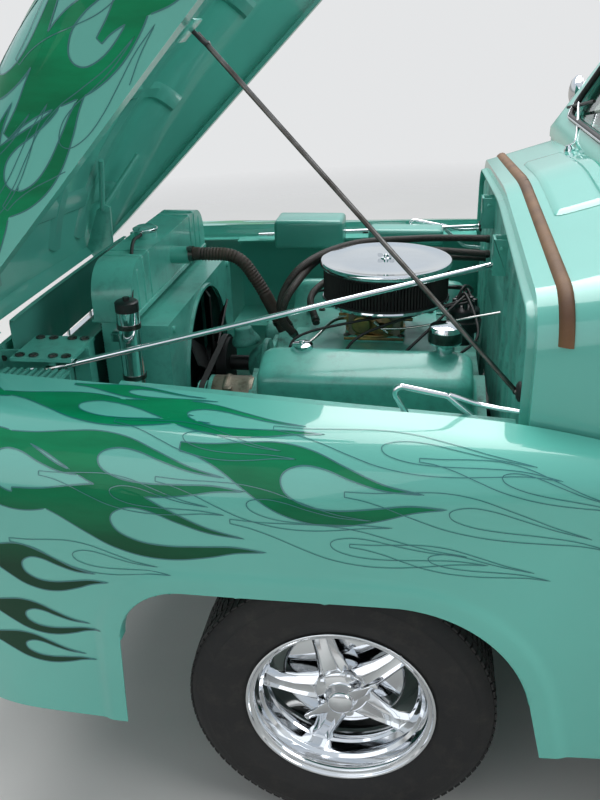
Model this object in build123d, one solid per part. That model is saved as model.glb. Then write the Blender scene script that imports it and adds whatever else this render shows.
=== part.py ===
from build123d import *
import os
from math import cos, radians, sin

# A classic step-side pickup truck with a hood that tilts forward, propped open.
# Lengths are millimetres: X forward, Y to the truck's left, Z up. All places are
# measured from the front axle's station on the ground; export moves them together
# so that the origin lies under the middle of the whole truck.

# Running gear
WHEELBASE = 2794
WHEEL_Y = 770
TYRE_R = 335
TYRE_HALF_WIDTH = 107.5
BEAD_R = 192
RIM_HALF_WIDTH = 95
RIM_LIP_R = 207
RIM_WALL = 6
FIT = 0.3
SPINDLE_R = 20
DRUM_R = 140
KINGPIN_Y = 620
KINGPIN_R = 22
AXLE_Z = TYRE_R
REAR_X = -WHEELBASE

# Frame
RAIL_IN = 370
RAIL_OUT = 430
RAIL_LOW = 370
RAIL_DEPTH = 100
RAIL_TOP = RAIL_LOW + RAIL_DEPTH
RAIL_KICK = 100
KICK_FRONT = REAR_X + 694
KICK_BACK = REAR_X + 444
RAIL_FRONT = 800
RAIL_REAR = -3730
FRONT_MEMBER_X = 720
GEARBOX_MEMBER_X = -1150
KICK_MEMBER_X = KICK_FRONT + 50
AXLE_MEMBER_X = REAR_X - 266
LOW_MEMBER_Z = 400
HIGH_MEMBER_Z = 490
MEMBER_DEPTH = 60
FRONT_END = 1030
REAR_END = -3930

# Body sheet
SHEET = 8
HOOD_GAP = 8
FENDER_RISE = 22
ARCH_LIP = 6
HOOD_EDGE_Z = 998
ARCH_TOP = 690
FENDER_BACK = -556
FENDER_LOW = 330
FOOT_SPARE = 60

# Hood hinge and prop
HINGE_X = 927
HINGE_Z = 940
HINGE_Y = 450
HOOD_OPEN = 45
PROP_PIVOT = (-331.5, 690, 1026)
PROP_HOOK_CLOSED = (-60, 640, 992)
PROP_R = 5
PROP_BALL_R = 7

# Radiator and the hood hinge brackets ahead of it
RAD_FRONT = 640
RAD_DEEP = 65
RAD_BACK = RAD_FRONT - RAD_DEEP
RAD_HALF = 345
BRACKET_BACK = RAD_FRONT + 10
BRACE_FOOT = (RAD_FRONT + 60, 512, 966)
BRACE_R = 7

# Cab
CAB_WALL = 45
CAB_FRONT = -560
CAB_BACK = -1750
CAB_LOW = 420
CAB_FLOOR_LOW = RAIL_TOP + FIT
CAB_FLOOR = 500
BELT_Z = 1330
ROOF_EDGE_Z = 1765
DOOR_FRONT = -563.5
DOOR_BACK = -1480
DOOR_LOW = 430
DOOR_GAP = 8
GLASS = 6
SEAT_FRONT = -1040
FIREWALL_X = -345
COWL_WALL = 25
TOE_TOP = 590
TOE_BACK = FIREWALL_X - 67
TOE_IN = 560
TOE_WALL = 12
SEAT_HALF = 640
SEAT_LOW = 640

# Load box
BOX_FRONT = -1800
BOX_BACK = -3740
BOX_HALF = 640
BOX_WALL = 40
BOX_FLOOR_LOW = 600
BOX_FLOOR = 640
BOX_TOP = 1080
GATE_THICK = 40
LAMP_STALK = 60

FRONT_AXLE_X = -(FRONT_END + REAR_END) / 2


# Shape helpers
def outline(points, radii):
    """A flat face from corners and their radii."""
    return make_face(FilletPolyline(*points, radius=radii, close=True))


def across(x, points, radii):
    """A face across the truck at station x, from (y, z) corners."""
    return Plane.YZ.offset(x) * outline(points, radii)


def side_prism(points, radii, y0, y1):
    """A solid from (x, z) corners, from y0 to y1."""
    return extrude(Plane.XZ.offset(-y0) * outline(points, radii), amount=-(y1 - y0))


def plan_prism(points, radii, z0, z1):
    """A solid from (x, y) corners, from z0 to z1."""
    return extrude(Plane.XY.offset(z0) * outline(points, radii), amount=z1 - z0)


def cross_prism(points, radii, x0, x1):
    """A solid from (y, z) corners, from x0 to x1."""
    return extrude(across(x0, points, radii), amount=x1 - x0)


def block(x0, x1, y0, y1, z0, z1):
    """A box between two corners."""
    return Pos((x0 + x1) / 2, (y0 + y1) / 2, (z0 + z1) / 2) * Box(x1 - x0, y1 - y0, z1 - z0)


def bar(start, end, r):
    """A round bar between two points."""
    line = Vector(*end) - Vector(*start)
    plane = Plane(origin=Vector(*start), z_dir=line)
    return plane * Cylinder(r, line.length, align=(Align.CENTER, Align.CENTER, Align.MIN))


def tube_path(points, radii, r):
    """A round tube along straight runs joined by arcs."""
    path = FilletPolyline(*points, radius=radii)
    return sweep(Plane(origin=path @ 0, z_dir=path % 0) * Circle(r), path=path)


def ring_y(profile, radii, x, z):
    """A ring about an axle along Y, from (y, r) corners."""
    face = Plane.YZ * outline(profile, radii)
    return Pos(x, 0, z) * revolve(face, Axis.Y, 360)


def other_side(shape):
    """The same piece on the truck's right side."""
    return mirror(shape, about=Plane.XZ)


def between(table, x, column):
    """A column's value at station x, on straight lines between and past the rows."""
    rows = sorted(table)
    low, high = rows[-2:]
    for row, next_row in zip(rows, rows[1:]):
        if x <= next_row[0]:
            low, high = row, next_row
            break
    share = (x - low[0]) / (high[0] - low[0])
    return low[column] + share * (high[column] - low[column])


def hood_pose(shape):
    """Turn a hood piece from closed to propped open."""
    return shape.rotate(Axis((HINGE_X, 0, HINGE_Z), (0, 1, 0)), HOOD_OPEN)


def hood_point(point):
    """Where a point of the closed hood is when it is propped open."""
    x, y, z = point
    turn = radians(HOOD_OPEN)
    dx = x - HINGE_X
    dz = z - HINGE_Z
    return (
        HINGE_X + dx * cos(turn) + dz * sin(turn),
        y,
        HINGE_Z - dx * sin(turn) + dz * cos(turn),
    )


def node(name, *shapes):
    """Write one sub-part, moved to the truck's middle."""
    parts = [Pos(FRONT_AXLE_X, 0, 0) * shape for shape in shapes]
    export_step(parts[0] if len(parts) == 1 else Compound(children=parts), f"parts/{name}.step")


os.makedirs("parts", exist_ok=True)

# Front fender sections: station, inner edge y, crown z, outer y, shoulder radius, foot y, foot z
FENDER = [
    (FENDER_BACK, 880, 1004, 945, 50, 925, FENDER_LOW),
    (FIREWALL_X, 822, 1018, 947, 90, 935, FENDER_LOW),
    (0, 776, 1020, 950, 140, 940, FENDER_LOW),
    (350, 723, 1020, 950, 150, 940, FENDER_LOW),
    (620, 688, 1020, 942, 150, 930, FENDER_LOW),
    (800, 650, 1012, 915, 140, 905, 350),
    (900, 612, 996, 872, 120, 862, 390),
]
LAMP_Y = 700
LAMP_Z = 765
LAMP_R = 92
PANEL_X = 868
GRILLE = [(-540, 540), (540, 540), (540, 905), (-540, 905)]


def fender_edge(x):
    """How far out the fender's inner edge is at station x."""
    return between(FENDER, x, 1)


def fender_loft(grow, inward, down):
    """The fender's outer volume, its skin moved out by grow, before its foot is cut."""
    faces = []
    for x, edge, crown, out, radius, foot_y, foot_z in FENDER:
        corners = [
            (edge - inward, crown + grow),
            (out + grow, crown - FENDER_RISE + grow),
            (foot_y + grow, foot_z - down),
            (edge - inward, foot_z - down),
        ]
        faces.append(across(x, corners, [0, radius + grow, 0, 0]))
    return loft(faces)


# Front wheel arch: corners (x, z) and radii
ARCH = [(458, 150), (432, ARCH_TOP), (-330, ARCH_TOP), (-452, 150)]
ARCH_RADII = [0, 140, 280, 0]


def strip(offsets, z_values, x_values):
    """A strip that follows the fender's inner edge: offsets and heights of its corners."""
    faces = []
    for x in x_values:
        edge = fender_edge(x)
        corners = [(edge + dy, z) for dy, z in zip(offsets, z_values)]
        faces.append(across(x, corners, [0] * len(corners)))
    return loft(faces, ruled=True)


# Cowl sections: station, half width, corner z, corner radius, crown z
COWL = [
    (FIREWALL_X, 810, 1236, 105, 1285),
    (CAB_FRONT, 866, 1290, 105, 1352),
]


def cowl_half(x):
    """How far out the cowl's side is at station x."""
    return between(COWL, x, 1)


GUTTER_Z = 975
GUTTER_IN = 38
STATIONS = [-340, 0, 350, 620, 800]


def front_fender():
    """The left front fender with its arch and the gutter beside the hood."""
    arch = side_prism(ARCH, ARCH_RADII, 600, 1100)
    skin = fender_loft(0, 0, FOOT_SPARE) - fender_loft(-SHEET, 60, 2 * FOOT_SPARE) - arch
    lip = fender_loft(ARCH_LIP, 0, FOOT_SPARE) - fender_loft(-SHEET / 4, 60, 2 * FOOT_SPARE)
    wide = [(498, 100), (472, ARCH_TOP + 40), (-350, ARCH_TOP + 40), (-492, 100)]
    lip = (lip & side_prism(wide, [0, 170, 310, 0], 800, 1000)) - arch
    gutter = strip(
        [-GUTTER_IN, 6, 6, 0, 0, -GUTTER_IN],
        [GUTTER_Z, GUTTER_Z, 1002, 1002, GUTTER_Z + 5, GUTTER_Z + 5],
        STATIONS,
    )
    ends = []
    for x in (-540, -350):
        near = cowl_half(x) + FIT
        far = fender_edge(x) + 6
        ends.append(across(x, [(near, 900), (far, 900), (far, 990), (near, 990)], [0] * 4))
    seat = loft(ends, ruled=True)
    above_foot = side_prism(
        [(-600, FENDER_LOW), (620, FENDER_LOW), (950, 408), (950, 1100), (-600, 1100)], [0] * 5, 500, 1100
    )
    return ((skin + lip) & above_foot) + gutter + seat


def inner_fender():
    """The left apron between the wheel and the engine bay."""
    back = -330
    front = 500
    stations = [back, 0, 350, front]
    out = GUTTER_IN - 6
    edge = [(x, fender_edge(x) - out) for x in stations]
    inside = [(x, fender_edge(x) - GUTTER_IN) for x in reversed(stations)]
    wall = plan_prism(edge + inside, [0] * 8, 722, GUTTER_Z)
    shelf_edge = edge + [(front, 455), (back, 455)]
    shelf = plan_prism(shelf_edge, [0] * 6, 722, 730)
    return wall + shelf + block(back, front, 455, 463, 450, 726)


def front_panel():
    """The panel between the fenders that carries the grille and the headlamps."""
    half = fender_loft(-SHEET - FIT, 700, 0) & block(PANEL_X, PANEL_X + 18, 0, 1000, 470, 985)
    panel = half + other_side(half)
    panel -= cross_prism(GRILLE, [60] * 4, PANEL_X - 20, PANEL_X + 60)
    for side in (1, -1):
        slot = sorted((side * (HINGE_Y - 24), side * (HINGE_Y + 14)))
        panel -= block(PANEL_X - 9, PANEL_X + 30, *slot, 904, 990)
    for y in (-LAMP_Y, LAMP_Y):
        panel -= Pos(PANEL_X, y, LAMP_Z) * Rot(0, 90, 0) * Cylinder(LAMP_R, 80)
    return panel


left = front_fender()
node("front_fenders", left, other_side(left))
left = inner_fender()
node("inner_fenders", left, other_side(left))
node("front_panel", front_panel())

# Grille bars
grille = cross_prism(GRILLE, [60] * 4, PANEL_X + 18, PANEL_X + 34)
grille -= cross_prism([(-515, 565), (515, 565), (515, 880), (-515, 880)], [40] * 4, PANEL_X, PANEL_X + 60)
for index in range(5):
    z = 605 + index * 59
    grille += cross_prism(
        [(-530, z - 9), (530, z - 9), (530, z + 9), (-530, z + 9)], [0] * 4, PANEL_X + 20, PANEL_X + 32
    )
node("grille", grille)

# Headlamps
bezels = []
lenses = []
for y in (LAMP_Y, -LAMP_Y):
    place = Pos(PANEL_X, y, LAMP_Z) * Rot(0, 90, 0)
    bezel = Pos(0, 0, 26) * Cylinder(LAMP_R + 16, 16) + Pos(0, 0, -20) * Cylinder(LAMP_R - 1, 78)
    bezel -= Pos(0, 0, 40) * Cylinder(LAMP_R - 8, 60)
    bezels.append(place * bezel)
    lenses.append(place * (Pos(0, 0, 20) * Cylinder(LAMP_R - 8.3, 18)))
node("headlamp_bezels", *bezels)
node("headlamp_lenses", *lenses)

# Hood sections: station, corner z, corner radius, crown z
HOOD = [
    (FIREWALL_X, 1238, 105, 1287),
    (0, 1230, 105, 1285),
    (350, 1212, 110, 1268),
    (620, 1170, 110, 1226),
    (800, 1105, 80, 1150),
    (930, 1024, 18, 1046),
]
CROWN_R = 1500


def hood_loft(inset, low, nose):
    """The closed hood's volume, its skin moved in by inset."""
    faces = []
    for x, corner, radius, crown in HOOD:
        half = fender_edge(x) - HOOD_GAP - inset
        x = min(x, nose)
        corners = [
            (half, low),
            (half, corner - inset),
            (0, crown - inset),
            (-half, corner - inset),
            (-half, low),
        ]
        round_to = max(radius - inset, 6)
        faces.append(across(x, corners, [0, round_to, CROWN_R, round_to, 0]))
    return loft(faces)


def hood_flange():
    """The flange along the hood's left lower edge."""
    flange = strip(
        [-HOOD_GAP - 42, -HOOD_GAP - 2, -HOOD_GAP - 2, -HOOD_GAP - 42],
        [HOOD_EDGE_Z, HOOD_EDGE_Z, HOOD_EDGE_Z + 5, HOOD_EDGE_Z + 5],
        [FIREWALL_X, 0, 350, 620, 800, 900],
    )
    return flange


hood = hood_loft(0, HOOD_EDGE_Z, 930) - hood_loft(SHEET, HOOD_EDGE_Z - 50, 918)
hood -= block(-400, FIREWALL_X + 4, -900, 900, 900, 1400)
hood += hood_flange() + other_side(hood_flange())

# Hood hinges: arms on the hood, brackets on the truck
PIN_R = 8
brackets = []
for side in (1, -1):
    low = min(side * (HINGE_Y - 6), side * (HINGE_Y + 6))
    arm = side_prism(
        [
            (HINGE_X - 20, HINGE_Z - 20),
            (HINGE_X + 20, HINGE_Z - 20),
            (HINGE_X + 4, 1024),
            (780, 1090),
            (760, 1060),
        ],
        [16, 16, 0, 0, 0],
        low,
        low + 12,
    )
    arm = arm & (hood_loft(SHEET / 2, 900, 918) + block(900, 960, -900, 900, 900, 1004))
    arm -= Pos(HINGE_X, side * HINGE_Y, HINGE_Z) * Rot(90, 0, 0) * Cylinder(PIN_R + FIT, 40)
    hood += arm
    plate = block(BRACKET_BACK, RAIL_FRONT, *sorted((side * 375, side * 525)), 986, 994)
    web = side_prism(
        [(RAD_FRONT, 960), (900, 915), (955, 925), (955, 960), (900, 975), (RAD_FRONT, 990)],
        [0, 20, 16, 16, 20, 0],
        *sorted((side * (HINGE_Y - 8), side * (HINGE_Y - 18))),
    )
    post = block(BRACKET_BACK, BRACKET_BACK + 40, *sorted((side * 385, side * 425)), RAIL_TOP, 986)
    pin = Pos(HINGE_X, side * HINGE_Y, HINGE_Z) * Rot(90, 0, 0) * Cylinder(PIN_R, 22)
    brackets.append(plate + web + post + pin)
foot_x, foot_y, foot_z = BRACE_FOOT
brackets[0] += block(
    foot_x - 8, foot_x + 8, foot_y - BRACE_R, foot_y + BRACE_R, foot_z + BRACE_R + 1.8, 988
)
node("hood_hinge_brackets", *brackets)

# Prop rod from the cowl to the hook under the hood's edge
hook_at = hood_point(PROP_HOOK_CLOSED)
hook_y = PROP_HOOK_CLOSED[1] + PROP_R + 1
hood += block(-85, -35, hook_y, fender_edge(-60) - 45, HOOD_EDGE_Z, HOOD_EDGE_Z + 5)
hood += block(-66, -54, hook_y, hook_y + 12, HOOD_EDGE_Z - 14, HOOD_EDGE_Z + 2)
node("hood", hood_pose(hood))
node("prop_rod", bar(PROP_PIVOT, hook_at, PROP_R) + Pos(*PROP_PIVOT) * Sphere(PROP_BALL_R))


def cowl_loft(inset, low):
    """The cowl's volume, its skin moved in by inset."""
    faces = []
    for x, half, corner, radius, crown in COWL:
        half -= inset
        corners = [
            (half, low),
            (half, corner - inset),
            (0, crown - inset),
            (-half, corner - inset),
            (-half, low),
        ]
        round_to = radius - inset
        faces.append(across(x, corners, [0, round_to, CROWN_R, round_to, 0]))
    return loft(faces)


cowl = cowl_loft(0, CAB_FLOOR_LOW) - cowl_loft(COWL_WALL, CAB_FLOOR)
cowl += cowl_loft(2, CAB_FLOOR_LOW) & block(FIREWALL_X - 12, FIREWALL_X, -900, 900, CAB_FLOOR_LOW, 1300)


def toe_pocket(grow):
    """The space for the steered front wheel in the cowl's left lower corner."""
    corners = [
        (FIREWALL_X + 20, 400),
        (FIREWALL_X + 20, TOE_TOP + grow),
        (FIREWALL_X, TOE_TOP + grow),
        (TOE_BACK - grow, CAB_FLOOR_LOW),
        (TOE_BACK - grow, 400),
    ]
    return side_prism(corners, [0] * 5, TOE_IN - grow, 950)


tub = toe_pocket(TOE_WALL) & cowl_loft(0, CAB_FLOOR_LOW)
cowl = cowl + tub + other_side(tub) - toe_pocket(0) - other_side(toe_pocket(0))

# Cab sections: z, front x, back x, half width, front corner radius, back corner radius
CAB = [
    (CAB_LOW, CAB_FRONT, CAB_BACK + 30, 850, 20, 110),
    (900, CAB_FRONT, CAB_BACK, 885, 20, 130),
    (BELT_Z, CAB_FRONT, CAB_BACK, 868, 20, 130),
]
GREENHOUSE = [
    (BELT_Z, CAB_FRONT, CAB_BACK, 868, 20, 130),
    (ROOF_EDGE_Z, -800, -1665, 690, 110, 150),
]


def cab_loft(table, inset):
    """A stack of rounded plans, moved in by inset."""
    faces = []
    for z, front, back, half, front_r, back_r in table:
        corners = [
            (front - inset, half - inset),
            (back + inset, half - inset),
            (back + inset, -half + inset),
            (front - inset, -half + inset),
        ]
        near = max(front_r - inset, 5)
        far = max(back_r - inset, 5)
        faces.append(Plane.XY.offset(z) * outline(corners, [near, far, far, near]))
    return loft(faces, ruled=True)


# Roof steps: rise above the greenhouse, how far in, front and back corner radii
ROOF_STEPS = [(0, 0, 110, 150), (34, 60, 60, 90), (50, 230, 60, 90)]


def roof():
    """The roof's crown above the greenhouse."""
    z, front, back, half = GREENHOUSE[-1][:4]
    faces = []
    for rise, shrink, near, far in ROOF_STEPS:
        corners = [
            (front - shrink, half - shrink),
            (back + shrink, half - shrink),
            (back + shrink, -half + shrink),
            (front - shrink, -half + shrink),
        ]
        faces.append(Plane.XY.offset(z + rise) * outline(corners, [near, far, far, near]))
    return loft(faces, ruled=True)


def cab_shell():
    """Cab walls, pillars and roof as one hollow shell, before its openings."""
    body = cab_loft(CAB, 0) + cab_loft(GREENHOUSE, 0) + roof()
    hollow = cab_loft(CAB, CAB_WALL) + cab_loft(GREENHOUSE, CAB_WALL)
    hollow = hollow - block(CAB_BACK, CAB_FRONT, -900, 900, ROOF_EDGE_Z - 25, 1900)
    open_front = block(CAB_FRONT - CAB_WALL - 40, CAB_FRONT + 20, -868 + 42, 868 - 42, CAB_LOW - 10, 1290)
    floor = block(CAB_BACK + CAB_WALL + 30, CAB_FRONT, -835, 835, CAB_FLOOR_LOW, CAB_FLOOR)
    floor = floor & cab_loft(CAB, 10)
    under = block(CAB_BACK - 10, CAB_FRONT + 10, -740, 740, CAB_LOW - 10, CAB_FLOOR_LOW)
    return body - hollow - open_front - under + floor


def door_outline(gap):
    """The door's side outline, moved in by gap."""
    return [
        (DOOR_FRONT - gap, DOOR_LOW + gap),
        (DOOR_FRONT - gap, 1300),
        (-610 - gap, 1345),
        (-840 - gap, 1722 - gap),
        (DOOR_BACK + gap + 30, 1722 - gap),
        (DOOR_BACK + gap, 1345),
        (DOOR_BACK + gap, DOOR_LOW + gap),
    ]


def door_prism(gap, y0, y1):
    """The door's side outline as a solid."""
    return side_prism(door_outline(gap), [0, 0, 0, 60, 60, 0, 60], y0, y1)


WINDOW = [(-670, 1365), (-868, 1680), (-1425, 1680), (-1440, 1365)]
WINDOW_RADII = [20, 40, 40, 20]
WINDSHIELD = [(-690, 1385), (690, 1385), (590, 1715), (-590, 1715)]
BACK_LIGHT = [(-420, 1400), (420, 1400), (400, 1660), (-400, 1660)]


def glass_layer():
    """A thin layer inside the cab's upper wall."""
    middle = (CAB_WALL - GLASS) / 2
    return cab_loft(GREENHOUSE, middle) - cab_loft(GREENHOUSE, middle + GLASS)


shell = cab_shell()
window = side_prism(WINDOW, WINDOW_RADII, 500, 1000)
windshield_hole = cross_prism(WINDSHIELD, [50] * 4, -1000, -400)
back_hole = cross_prism(BACK_LIGHT, [60] * 4, -1900, -1500)
door = (shell & door_prism(DOOR_GAP / 2, 500, 1000)) - window
door = door - block(-2000, 0, 500, 835, CAB_FLOOR_LOW - 1, CAB_FLOOR + 1)
cab = shell - door_prism(-DOOR_GAP / 2, 500, 1000) - door_prism(-DOOR_GAP / 2, -1000, -500)
cab = cab - windshield_hole - back_hole
cab += block(-1580, SEAT_FRONT - 40, -560, 560, CAB_FLOOR, SEAT_LOW)

# Door hinges: barrels on the hinge line, with a leaf to the cowl and one to the door
HINGE_LINE = (-575, 874)
hinges = None
for z in (620, 1120):
    place = Pos(*HINGE_LINE, z)
    body_leaf = place * (Pos(0, 0, 12) * Cylinder(6, 24)) + block(HINGE_LINE[0], -561, 850, 872, z, z + 24)
    door = door - block(-592, -560, 800, 900, z - 0.4, z + 24.4)
    door += place * Pos(0, 0, -12.4) * Cylinder(6, 24)
    door += block(-600, HINGE_LINE[0], 850, 872, z - 24.4, z - 0.4)
    body_leaf += block(-561, -540, 845, 868, z, z + 24)
    hinges = body_leaf if hinges is None else hinges + body_leaf
node("cab", cab)
node("door_left", door)
node("door_right", other_side(door))
cowl = cowl + hinges + other_side(hinges)
node("cowl", cowl)
layer = glass_layer()
door_glass = layer & side_prism(WINDOW, WINDOW_RADII, 500, 1000)
door_glass = door_glass - (shell - window)
node("door_glass_left", door_glass)
node("door_glass_right", other_side(door_glass))
windshield = layer & cross_prism(WINDSHIELD, [50] * 4, -1000, -400)
node("cab_glass", windshield, layer & cross_prism(BACK_LIGHT, [60] * 4, -1900, -1500))

# Dash, column, steering wheel and seat
DASH_FRONT = CAB_FRONT - FIT
dash = side_prism(
    [(DASH_FRONT, 1080), (DASH_FRONT, 1285), (-690, 1270), (-730, 1210), (-700, 1070)],
    [0, 0, 30, 30, 20],
    -812,
    812,
)
dash += cowl_loft(COWL_WALL + FIT, CAB_FLOOR) & block(CAB_FRONT, -540, -900, 900, 1085, 1240)
node("dashboard", dash)
STEER_Y = 370
COLUMN_TOP = (-905, STEER_Y, 1130)
COLUMN_LOW = (FIREWALL_X - 24, STEER_Y, 820)
node("steering_column", bar(COLUMN_LOW, COLUMN_TOP, 22) - dash)
column_line = Vector(*COLUMN_TOP) - Vector(*COLUMN_LOW)
wheel_plane = Plane(origin=Vector(*COLUMN_TOP), z_dir=column_line)
steering = Pos(0, 0, 24) * Torus(195, 12)
steering += Pos(0, 0, 14) * Cylinder(34, 27)
for turn in (90, 210, 330):
    steering += Rot(0, 0, turn) * Pos(105, 0, 24) * Box(170, 26, 8)
steering = wheel_plane * steering
node("steering_wheel", steering)

SEAT_BACK = -1500
cushion = side_prism(
    [(SEAT_FRONT, SEAT_LOW + FIT), (SEAT_FRONT, 800), (SEAT_BACK, 775), (SEAT_BACK, SEAT_LOW + FIT)],
    [30, 50, 20, 10],
    -SEAT_HALF,
    SEAT_HALF,
)
node("seat_cushion", cushion)
seat_back = side_prism(
    [
        (SEAT_BACK + FIT, SEAT_LOW + 20),
        (SEAT_BACK - 20, 1280),
        (SEAT_BACK - 100, 1290),
        (SEAT_BACK - 180, 800),
        (SEAT_BACK - 140, SEAT_LOW + 1),
    ],
    [20, 40, 40, 20, 20],
    -SEAT_HALF,
    SEAT_HALF,
)
seat_back = seat_back - block(-1800, SEAT_BACK - 100, -700, 700, 600, 1300)
node("seat_back", seat_back)

# Running boards between the front and rear fenders
BOARD_LOW = 300
board = block(REAR_X + 464, FENDER_BACK - FIT, 700, 945, BOARD_LOW, BOARD_LOW + 40)
for x in (-700, -1400, KICK_FRONT):
    board += block(x - 20, x + 20, RAIL_OUT, 720, BOARD_LOW + 10, BOARD_LOW + 40)
    board += block(x - 20, x + 20, RAIL_OUT, RAIL_OUT + 20, BOARD_LOW + 10, RAIL_LOW + 40)
node("running_boards", board, other_side(board))

# Frame rails and cross-members
rail = side_prism(
    [
        (RAIL_FRONT, RAIL_LOW),
        (RAIL_FRONT, RAIL_TOP),
        (KICK_FRONT, RAIL_TOP),
        (KICK_BACK, RAIL_TOP + RAIL_KICK),
        (RAIL_REAR, RAIL_TOP + RAIL_KICK),
        (RAIL_REAR, RAIL_LOW + RAIL_KICK),
        (KICK_BACK, RAIL_LOW + RAIL_KICK),
        (KICK_FRONT, RAIL_LOW),
    ],
    [0] * 8,
    RAIL_IN,
    RAIL_OUT,
)
node("frame_rails", rail, other_side(rail))
members = []
for x, low in (
    (FRONT_MEMBER_X, LOW_MEMBER_Z - 10),
    (GEARBOX_MEMBER_X, LOW_MEMBER_Z),
    (KICK_MEMBER_X, LOW_MEMBER_Z),
    (AXLE_MEMBER_X, HIGH_MEMBER_Z),
    (RAIL_REAR + 30, HIGH_MEMBER_Z),
):
    members.append(block(x - 30, x + 30, -RAIL_IN, RAIL_IN, low, low + MEMBER_DEPTH))
members.append(block(-60, 60, -RAIL_OUT, RAIL_OUT, 250, RAIL_LOW))
node("cross_members", *members)

# Engine, its block and heads as one, standing on two mounts
ENGINE_FRONT = 285
ENGINE_BACK = -310
GEARBOX_BACK = -1000
engine = cross_prism(
    [
        (-150, 375),
        (150, 375),
        (205, 500),
        (330, 640),
        (395, 800),
        (225, 860),
        (130, 780),
        (-130, 780),
        (-225, 860),
        (-395, 800),
        (-330, 640),
        (-205, 500),
    ],
    [20, 20, 30, 20, 10, 6, 10, 10, 6, 10, 20, 30],
    ENGINE_BACK,
    ENGINE_FRONT,
)
for side in (1, -1):
    engine += block(-40, 40, *sorted((side * 180, side * RAIL_IN)), 430, 460)
engine += block(GEARBOX_BACK, ENGINE_BACK, -120, 120, 300, 470)

# Valve covers: section corners (y, z)
cover = cross_prism(
    [(226, 860.5), (244, 945), (352, 938), (396, 800.2)], [3, 26, 34, 3], -290, 265
)
cover = fillet(cover.faces().sort_by(Axis.X)[0].edges() + cover.faces().sort_by(Axis.X)[-1].edges(), 2)
node("valve_covers", cover, other_side(cover))
CAP_Y = 290
filler = Pos(146, CAP_Y, 950) * Cylinder(28, 16)
neck = Pos(-204, CAP_Y, 955) * Cylinder(20, 30) + Pos(-204, CAP_Y, 1000) * Cylinder(40, 60)
node("oil_caps", filler - cover, neck - cover)

# Induction
intake = block(-240, 220, -120, 120, 780 + FIT, 850) + block(-190, 170, -200, 200, 861, 885)
intake += block(-100, 60, -75, 75, 840, 900)
intake = intake - engine
node("intake_manifold", intake)
carb = block(-90, 50, -65, 65, 900, 962) + Pos(-20, 0, 972) * Cylinder(62, 26)
node("carburettor", carb)
CLEANER_X = -46
CLEANER_R = 178
base = Pos(CLEANER_X, 0, 990) * Cylinder(CLEANER_R - 4, 10)
lid = Pos(CLEANER_X, 0, 1091) * Cylinder(CLEANER_R, 12)
lid += Pos(CLEANER_X, 0, 1102) * Cylinder(12, 14)
node("air_cleaner", base, lid)
node("air_filter", Pos(CLEANER_X, 0, 1040) * (Cylinder(CLEANER_R - 10, 90) - Cylinder(CLEANER_R - 50, 90)))
engine += bar((278, 262, 790), (395, 262, 790), 58) + block(ENGINE_FRONT, 300, 180, 262, 700, 790)
node("engine_block", engine)

# Cooling
radiator = block(RAD_BACK, RAD_FRONT, -RAD_HALF, RAD_HALF, 450, 1030)
tank = cross_prism(
    [(-RAD_HALF - 12, 1030), (RAD_HALF + 12, 1030), (RAD_HALF + 12, 1165), (-RAD_HALF - 12, 1165)],
    [0, 0, 85, 85],
    RAD_BACK - 25,
    RAD_FRONT + 12,
)
radiator += tank + bar((RAD_BACK - 75, 0, 1100), (RAD_BACK, 0, 1100), 24)
radiator += Pos(RAD_BACK + 25, 60, 1172) * Cylinder(30, 18)
for side in (1, -1):
    foot = sorted((side * (RAD_HALF - 5), side * RAIL_OUT))
    radiator += block(RAD_BACK, RAD_FRONT, *foot, RAIL_TOP + FIT, 500)
node("radiator", radiator)
FAN_Z = 780
FAN_R = 215
SHROUD_BACK = 470
shroud = block(SHROUD_BACK, RAD_BACK, -RAD_HALF, RAD_HALF, 545, 1015)
shroud -= block(SHROUD_BACK + 5, RAD_BACK + 10, -RAD_HALF + 5, RAD_HALF - 5, 550, 1010)
shroud -= bar((SHROUD_BACK - 20, 0, FAN_Z), (SHROUD_BACK + 20, 0, FAN_Z), FAN_R + 12)
node("fan_shroud", shroud)
fan = bar((ENGINE_FRONT + FIT, 0, FAN_Z), (465, 0, FAN_Z), 22)
fan += bar((400, 0, FAN_Z), (430, 0, FAN_Z), 75)
fan += bar((450, 0, FAN_Z), (465, 0, FAN_Z), 60)
for index in range(6):
    blade = Rot(index * 60, 0, 0) * Pos(458, 0, 125) * Rot(0, 0, 25) * Box(5, 84, 176)
    fan += Pos(0, 0, FAN_Z) * blade
node("fan", fan)
CAN_X = RAD_BACK - 27
can = bar((CAN_X, 400, 870), (CAN_X, 400, 1072), 28)
can += block(CAN_X + 8, RAD_BACK + 25, RAD_HALF + FIT, 395, 990, 1010)
node("overflow_can", can)
upper_hose = tube_path(
    [(RAD_BACK - 76, 0, 1100), (360, 0, 1104), (300, 0, 1010), (240, 0, 886)], [70, 60], 19
)
node("radiator_hose", upper_hose)

# Chrome brace, stowed far prop and side loops
brace = bar(BRACE_FOOT, (FIREWALL_X + 9, 200, 1146), BRACE_R)
far_pivot = (PROP_PIVOT[0], -PROP_PIVOT[1], PROP_PIVOT[2])
far_prop = bar(far_pivot, (430, -645, 1000), PROP_R) + Pos(*far_pivot) * Sphere(PROP_BALL_R)
LOOP_Y = 713
loops = []
for side in (1, -1):
    path = [
        (-140, side * LOOP_Y, 950),
        (-85, side * LOOP_Y, 1044),
        (-200, side * LOOP_Y, 1022),
        (-285, side * LOOP_Y, 950),
        (FIREWALL_X + 1, side * LOOP_Y, 944),
    ]
    loops.append(tube_path(path, [14, 14, 30], 6))
node("chrome_rods", brace, far_prop, *loops)
grommets = []
for side in (1, -1):
    grommets.append(Pos(FIREWALL_X + 3, side * PROP_PIVOT[1], PROP_PIVOT[2]) * Rot(0, 90, 0) * Cylinder(16, 6))
node("prop_grommets", *grommets)

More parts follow.
